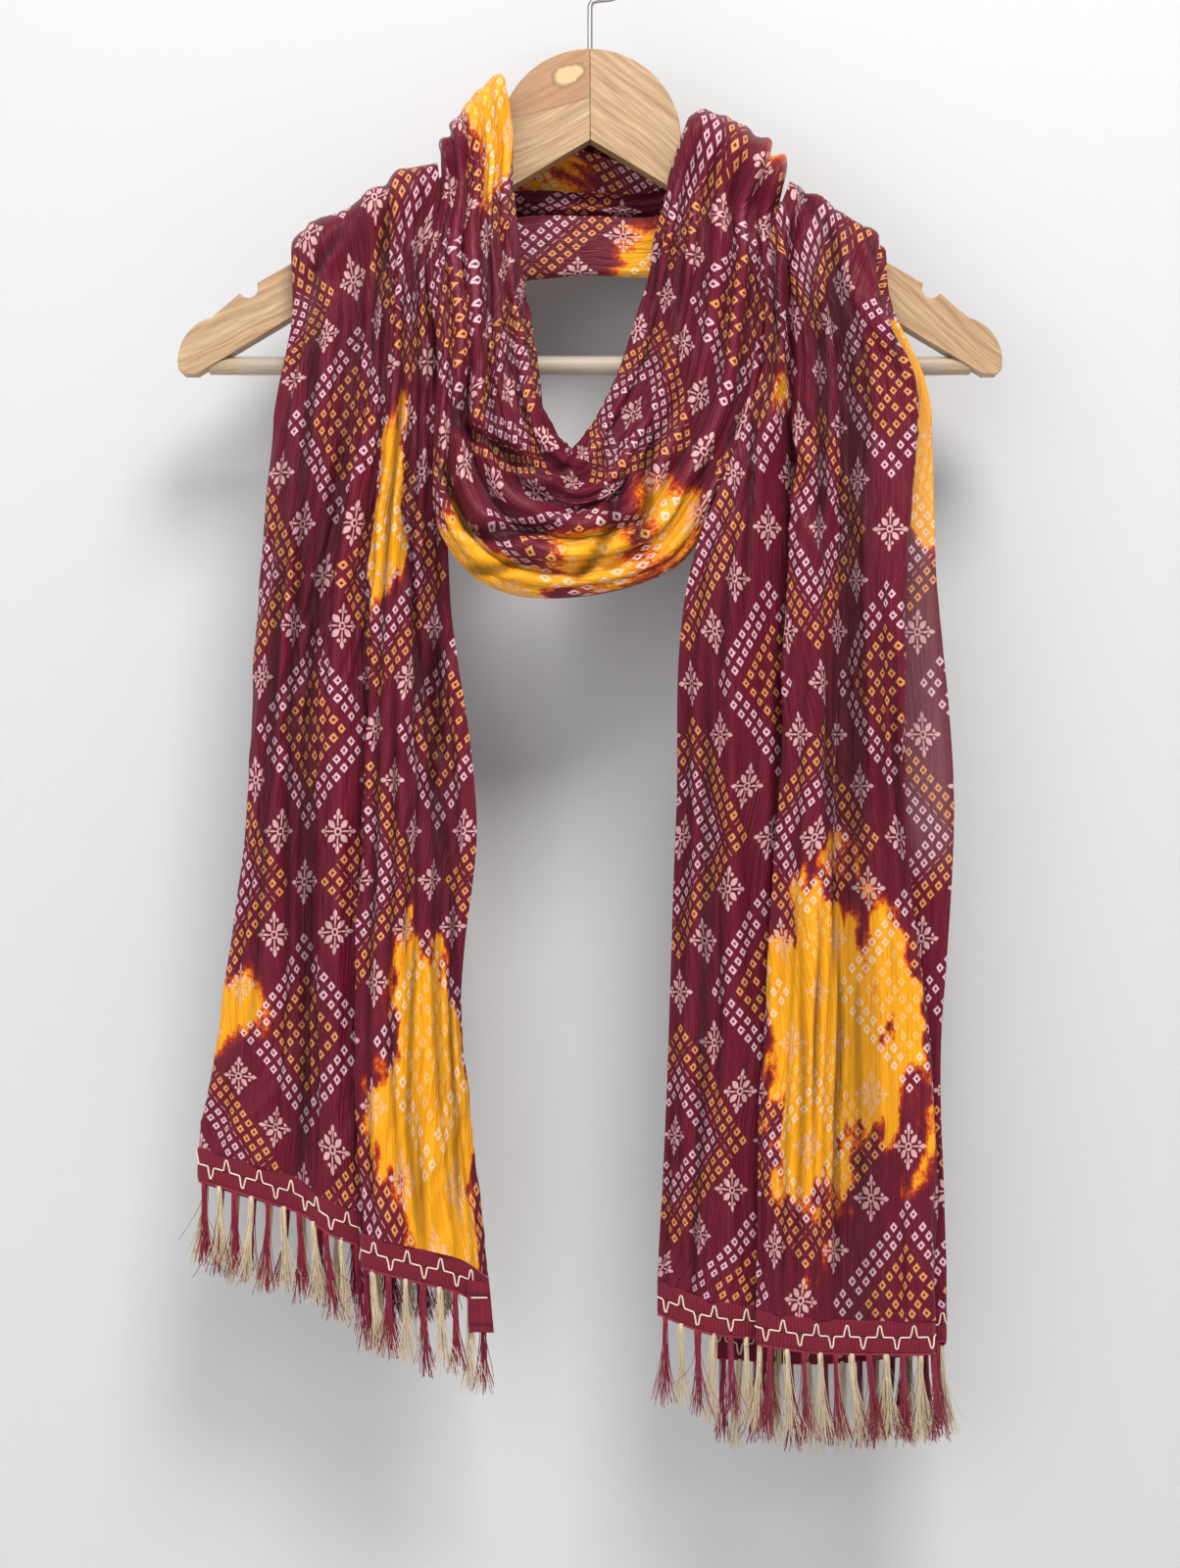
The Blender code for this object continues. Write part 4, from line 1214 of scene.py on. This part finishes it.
def joined(tubes):
    """One set of vertices and faces from several tubes."""
    vertices = []
    faces = []
    offset = 0
    for points, mine in tubes:
        vertices.append(points)
        faces.extend(tuple(v + offset for v in face) for face in mine)
        offset += len(points)
    return np.concatenate(vertices), faces


def wave_heights(marks):
    """A thread that runs level in the groove, then loops up, then down, once each period."""
    phase = (marks / THREAD_PERIOD) % 1.0
    up = np.exp(-(((phase - 0.25) / 0.07) ** 2) ** 2)
    down = np.exp(-(((phase - 0.75) / 0.07) ** 2) ** 2)
    return THREAD_RISE * (up - down)


def add_tape_threads(side, material):
    row, marks = even_row(hem_line(side, SEAM_GAP + TAPE_HEIGHT * THREAD_DROP), THREAD_STEP)
    out = sideways(row)
    height = wave_heights(marks)
    lift = 0.95 + 0.35 * np.abs(height) / THREAD_RISE
    tubes = []
    for sign in (1, -1):
        path = row + out * (sign * lift)[:, None]
        path[:, 2] += height
        tubes.append(tube(path, np.full(len(path), THREAD_RADIUS), THREAD_SIDES))
    return add_mesh(f"{side}_tape_cream_thread", *joined(tubes), material, "tape")


def add_turned_corner(tape, stitch):
    """The left hem's corner is turned over and hangs down in front of the tape's end."""
    row = hem_line("left", SEAM_GAP)
    corner = row[row[:, 0].argmax()]
    top = corner[2] + 1
    middle = corner[0] - TURNED_HALF_WIDTH + 1.6
    beside = row[np.abs(row[:, 0] - middle) < TURNED_HALF_WIDTH]
    front = beside[:, 1].min() - TURNED_FORWARD
    angles = np.linspace(0, 2 * math.pi, TURNED_SIDES + 1)
    shares = np.linspace(0, 1, TURNED_ROWS)
    rings = []
    for share in shares:
        closing = min(1.0, 8 * share + 0.2, 8 * (1 - share) + 0.2)
        x = TURNED_HALF_WIDTH * np.sign(np.cos(angles)) * np.abs(np.cos(angles)) ** 0.5
        x = x * (0.9 + 0.1 * share)
        curl = 0.5 * np.sin(x * 0.5 + 3 * share) - 0.9 * share * (x / TURNED_HALF_WIDTH) ** 2
        y = TURNED_HALF_THICK * closing * np.sin(angles) + curl
        drop = TURNED_HEIGHT * share + 0.18 * x * (1 - share)
        rings.append(np.stack([middle + x + 1.8 * share, front + y, top - drop], axis=1))
    flat = np.meshgrid(np.cos(angles) * TURNED_HALF_WIDTH, shares * TURNED_HEIGHT)
    made = add_grid("left_hem_turned_corner", np.array(rings), flat, tape, "tape")
    path = np.zeros((TURNED_STITCH_POINTS, 3)) + (0.0, front - TURNED_HALF_THICK - 0.4, top - TURNED_STITCH)
    reach = np.linspace(-TURNED_HALF_WIDTH, TURNED_HALF_WIDTH, TURNED_STITCH_POINTS)
    path[:, 0] = middle + 0.6 + reach * 0.65
    line = tube(path, np.full(TURNED_STITCH_POINTS, THREAD_RADIUS), THREAD_SIDES)
    return [made, add_mesh("left_turned_corner_thread", *line, stitch, "tape")]


def tassel_roots(side):
    """The middles of the tassel roots, as in the part."""
    foot = hem_line(side, SEAM_GAP + TAPE_HEIGHT + HEADING_GAP, COARSE_PER_FOLD)
    lengths = lengths_along(foot)
    count = int(lengths[-1] // TASSEL_PITCH)
    return row_at(foot, lengths, (np.arange(count) + 0.5) * (lengths[-1] / count))


def thread_path(root, length, sway, splay, curl, rng):
    """A thread that leaves its root in the bundle, hangs and splays towards its end."""
    t = np.linspace(0, 1, 8)
    phase = rng.uniform(0, 2 * math.pi)
    wobble = np.stack([np.sin(t * 5 + phase), np.cos(t * 4 + phase), np.zeros_like(t)], axis=1)
    path = root + np.outer(t, (0, 0, -length)) + np.outer(t**1.3, sway) + np.outer(t**2.4, splay)
    return path + wobble * (curl * t[:, None] ** 1.5)


def add_fringe(side, materials):
    rng = np.random.default_rng(FRINGE_SEEDS[side])
    roots = tassel_roots(side)
    colours = [("maroon", "cream")[number % 2] for number in range(len(roots))]
    bundles = {"cream": [], "maroon": []}
    lean = 0.0
    for colour, root in zip(colours, roots):
        lean = 0.6 * lean + rng.uniform(-3.4, 3.4)
        length = TASSEL_LENGTH * rng.uniform(0.9, 1.04)
        top = root - (0, 0, HEADING_HEIGHT - 1.0)
        for _ in range(THREADS_PER_TASSEL):
            start = top + rng.normal(0, (0.65, 0.45, 0.1))
            sway = np.array((lean, rng.uniform(-0.6, 0.6), 0.0))
            splay = np.array((rng.normal(0, 3.5), rng.normal(0, 1.8), 0.0))
            mine = length * rng.uniform(0.84, 1.05)
            path = thread_path(start, mine, sway, splay, rng.uniform(0.2, 1.3), rng)
            bundles[colour].append(tube(path, np.linspace(*TASSEL_RADII, len(path)), 3))
        knot = np.stack([root - (0, 0, drop) for drop in KNOT_DROPS])
        bundles[colour].append(tube(knot, KNOT_RADII, 8))
    for _ in range(STRAYS_PER_HEM):
        number = int(rng.integers(len(roots)))
        sway = np.array((rng.normal(0, 4.0), rng.normal(0, 1.5), 0.0))
        splay = np.array((rng.normal(0, 9.0), rng.normal(0, 2.5), rng.uniform(0, 9.0)))
        mine = TASSEL_LENGTH * rng.uniform(0.6, 1.0)
        path = thread_path(roots[number], mine, sway, splay, rng.uniform(1.0, 3.0), rng)
        bundles[colours[number]].append(tube(path, np.linspace(*STRAY_RADII, len(path)), 3))
    return [
        add_mesh(f"{side}_tassels_{colour}", *joined(tubes), materials[colour], "tassel")
        for colour, tubes in bundles.items()
    ]


def add_heading(side, material):
    row, marks = even_row(hem_line(side, SEAM_GAP + TAPE_HEIGHT + HEADING_GAP), HEADING_STEP)
    twist = HEADING_TWIST * np.sin(marks * 2 * math.pi / HEADING_TWIST_PITCH)
    line = tube(row - (0, 0, HEADING_HEIGHT / 2), HEADING_WALL / 2 * 0.9 + twist, 8)
    made = add_mesh(f"{side}_fringe_heading", *line, material, "tassel")
    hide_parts(f"{side}_fringe")
    return made


# Hanger


def arc(centre, radius, start, end, count):
    """Points on an arc in the XZ plane, in millimetres."""
    angles = np.linspace(start, end, count)
    return [(centre[0] + radius * math.cos(a), centre[1] + radius * math.sin(a)) for a in angles]


def arm_top(x):
    """Height of the arm's top edge at a distance from the middle."""
    return HEAD_CENTRE_Z - SHOULDER_DROP - (x - HEAD_RADIUS) * math.tan(ARM_SLOPE)


def hanger_outline():
    half_joint = JOINT_GAP / 2
    head = arc((0, HEAD_CENTRE_Z), HEAD_RADIUS, math.pi / 2 - half_joint / HEAD_RADIUS, 0.0, 48)
    notch = arc((NOTCH_X, arm_top(NOTCH_X)), NOTCH_RADIUS, math.pi - ARM_SLOPE, 2 * math.pi - ARM_SLOPE, 22)
    tip = arc(TIP_CENTRE, TIP_RADIUS, TIP_START, TIP_END, 30)
    foot = [(x, FOOT_Z) for x in FOOT_ENDS]
    apex = [(half_joint, HEAD_CENTRE_Z)]
    neck = [(HEAD_RADIUS, arm_top(HEAD_RADIUS))]
    return head + neck + notch + tip + foot + apex


def add_hanger_half(side, sign, material):
    bm = bmesh.new()
    verts = [bm.verts.new(Vector((sign * x, -WOOD_THICK / 2, z)) * MM) for x, z in hanger_outline()]
    face = bm.faces.new(verts)
    drawn = bmesh.ops.extrude_face_region(bm, geom=[face])["geom"]
    moved = [item for item in drawn if isinstance(item, bmesh.types.BMVert)]
    bmesh.ops.translate(bm, verts=moved, vec=(0, WOOD_THICK * MM, 0))
    bmesh.ops.recalc_face_normals(bm, faces=bm.faces[:])
    mesh = bpy.data.meshes.new(f"hanger_{side}_wood")
    bm.to_mesh(mesh)
    bm.free()
    made = link_piece(f"hanger_{side}_wood", mesh, material, "wood")
    edge = made.modifiers.new("edge", "BEVEL")
    edge.width = WOOD_EDGE * MM
    edge.segments = 4
    edge.limit_method = "ANGLE"
    edge.angle_limit = math.radians(60)
    edge.harden_normals = True
    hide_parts(f"hanger_{side}")


def add_bar(material):
    """The dowel, with softened ends."""
    length = 2 * BAR_HALF
    ends = np.array(BAR_END_PLACES)
    marks = np.concatenate([ends, np.linspace(1.0, length - 1.0, BAR_RINGS), length - ends[::-1]])
    radii = np.full(len(marks), BAR_RADIUS)
    radii[: len(ends)] *= BAR_END_SHARES
    radii[-len(ends) :] *= BAR_END_SHARES[::-1]
    points = np.outer(marks / length, (length, 0.0, 0.0)) + (-BAR_HALF, 0.0, BAR_Z)
    made = add_mesh("bar_dowel", *tube(points, radii, ROD_SIDES), material, "wood")
    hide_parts("hanger_bar")


def add_sleeve(material):
    inner = BAR_RADIUS + FIT_GAP
    outer = inner + SLEEVE_WALL
    rings = ((-SLEEVE_HALF, inner), (-SLEEVE_HALF, outer), (SLEEVE_HALF, outer), (SLEEVE_HALF, inner))
    vertices = []
    for x, radius in rings:
        for k in range(ROD_SIDES):
            angle = 2 * math.pi * k / ROD_SIDES
            vertices.append((x, radius * math.cos(angle), BAR_Z + radius * math.sin(angle)))
    faces = ring_faces(len(rings), ROD_SIDES, wraps=True)
    made = add_mesh("bar_clear_sleeve", vertices, faces, material, "clear_plastic")
    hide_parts("bar_sleeve")


def hook_path():
    centre = (0.0, -HOOK_RADIUS)
    radius = HOOK_RADIUS + WIRE_RADIUS
    stem = [(0.0, z) for z in np.linspace(WOOD_TOP - HOOK_ROOT_DEPTH, HOOK_STEM_TOP, 8)]
    over = arc(centre, radius, HOOK_START, HOOK_END, 64)
    start = np.array(stem[-1])
    end = np.array(over[0])
    leave = np.array((0.0, 1.0)) * HOOK_BEND_PULL
    arrive = np.array((-math.sin(HOOK_START), math.cos(HOOK_START))) * HOOK_BEND_PULL
    bend = []
    for t in np.linspace(0, 1, 18)[1:-1]:
        weights = ((1 - t) ** 3, 3 * t * (1 - t) ** 2, 3 * t**2 * (1 - t), t**3)
        controls = (start, start + leave, end - arrive, end)
        bend.append(tuple(sum(w * c for w, c in zip(weights, controls))))
    return np.array([(x, 0.0, z) for x, z in stem + bend + over])


def add_hook(material):
    path = hook_path()
    along = np.gradient(path, axis=0)
    along /= np.linalg.norm(along, axis=1, keepdims=True)
    side = np.array([0.0, 1.0, 0.0])
    radii = np.full(len(path), WIRE_RADIUS)
    radii[-2:] *= WIRE_END_SHARES
    vertices = []
    for point, cross, radius in zip(path, np.cross(along, side), radii):
        for k in range(WIRE_SIDES):
            angle = 2 * math.pi * k / WIRE_SIDES
            vertices.append(point + radius * (math.cos(angle) * cross + math.sin(angle) * side))
    faces = ring_faces(len(path), WIRE_SIDES)
    faces.append(tuple(range(WIRE_SIDES)))
    faces.append(tuple(range(len(vertices) - WIRE_SIDES, len(vertices))))
    made = add_mesh("hook_wire", vertices, faces, material, "steel_wire")
    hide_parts("hanger_hook")


def add_hanger():
    add_hanger_half("left", -1, wood_material("wood_left", LEFT_GRAIN, knot=KNOT))
    add_hanger_half("right", 1, wood_material("wood_right", RIGHT_GRAIN))
    add_bar(wood_material("bar_wood", 0.0, BAR_PALE, BAR_DARK))
    add_sleeve(sleeve_material())
    add_hook(steel_material())


# Stage


def stage_material(name, colour):
    g = Graph(name)
    shade = g.mix(g.noise(g.place(), 3.0, 3.0) * 0.3, colour, tuple(c * 0.97 for c in colour))
    normal = g.bump(g.noise(g.place(), 240.0), 0.05, 0.0004)
    return g.principled(shade, 0.8, normal, Specular_IOR_Level=0.2)


def one_sided(material):
    """The wall is seen only from the front, so that the back of the stole can be looked at."""
    tree = material.node_tree
    facing = tree.nodes.new("ShaderNodeNewGeometry").outputs["Backfacing"]
    clear = tree.nodes.new("ShaderNodeBsdfTransparent")
    choice = tree.nodes.new("ShaderNodeMixShader")
    output = tree.nodes["Material Output"]
    tree.links.new(facing, choice.inputs[0])
    tree.links.new(tree.nodes["Principled BSDF"].outputs[0], choice.inputs[1])
    tree.links.new(clear.outputs[0], choice.inputs[2])
    tree.links.new(choice.outputs[0], output.inputs[0])
    return material


def add_plane(name, corners, material):
    mesh = bpy.data.meshes.new(name)
    mesh.from_pydata(corners, [], [(0, 1, 2, 3)])
    mesh.update()
    mesh.materials.append(material)
    made = bpy.data.objects.new(name, mesh)
    bpy.context.scene.collection.objects.link(made)


def add_aimed(name, data, place, aim):
    made = bpy.data.objects.new(name, data)
    made.location = place
    made.rotation_mode = "QUATERNION"
    made.rotation_quaternion = (Vector(aim) - Vector(place)).to_track_quat("-Z", "Y")
    bpy.context.scene.collection.objects.link(made)
    return made


def add_stage():
    s = STAGE_HALF
    wall = one_sided(stage_material("wall_paint", WALL_COLOUR))
    corners = [(x, WALL_Y, z) for x, z in ((-s, FLOOR_Z), (s, FLOOR_Z), (s, s), (-s, s))]
    add_plane("backdrop_wall", corners, wall)
    floor = stage_material("floor_paint", FLOOR_COLOUR)
    add_plane("floor", [(x, y, FLOOR_Z) for x, y in ((-s, -s), (s, -s), (s, s), (-s, s))], floor)
    world = bpy.data.worlds.new("studio")
    world.use_nodes = True
    background = world.node_tree.nodes["Background"]
    background.inputs["Color"].default_value = WORLD_COLOUR
    background.inputs["Strength"].default_value = WORLD_STRENGTH
    bpy.context.scene.world = world
    for light in LIGHTS:
        data = bpy.data.lights.new(light.name, "AREA")
        data.energy = light.energy
        data.size = light.size
        data.color = light.colour
        add_aimed(light.name, data, light.place, LIGHT_AIM)


def add_camera():
    data = bpy.data.cameras.new("camera")
    data.lens = CAMERA_LENS
    data.sensor_width = CAMERA_SENSOR
    bpy.context.scene.camera = add_aimed("camera", data, CAMERA_PLACE, CAMERA_AIM)


def main():
    bpy.context.scene.view_settings.view_transform = "Standard"
    cloth = add_cloth(silk_material())
    cream = thread_material("cream_thread", (0.52, 0.39, 0.23), (0.90, 0.76, 0.54), 0.45)
    stitch = thread_material("stitch_thread", (0.72, 0.52, 0.40), (0.95, 0.80, 0.68), 0.5)
    maroon = thread_material("maroon_thread", (0.15, 0.004, 0.018), (0.42, 0.014, 0.055), 0.5)
    tape = tape_material()
    trims = {}
    for side in ("left", "right"):
        trims[side] = [add_tape(side, tape), add_tape_threads(side, stitch), add_heading(side, maroon)]
        trims[side].extend(add_fringe(side, {"cream": cream, "maroon": maroon}))
    trims["left"].extend(add_turned_corner(tape, stitch))
    for stretch in STRETCHES:
        length = (STATION_PLACE[stretch.end] - STATION_PLACE[stretch.start]) * MM
        side = stretch.node.split("_")[1]
        list(stretch.rests_on)
        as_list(trims.get(side, []) if "tail" in stretch.node else [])
    add_hanger()
    add_stage()
    add_camera()


main()
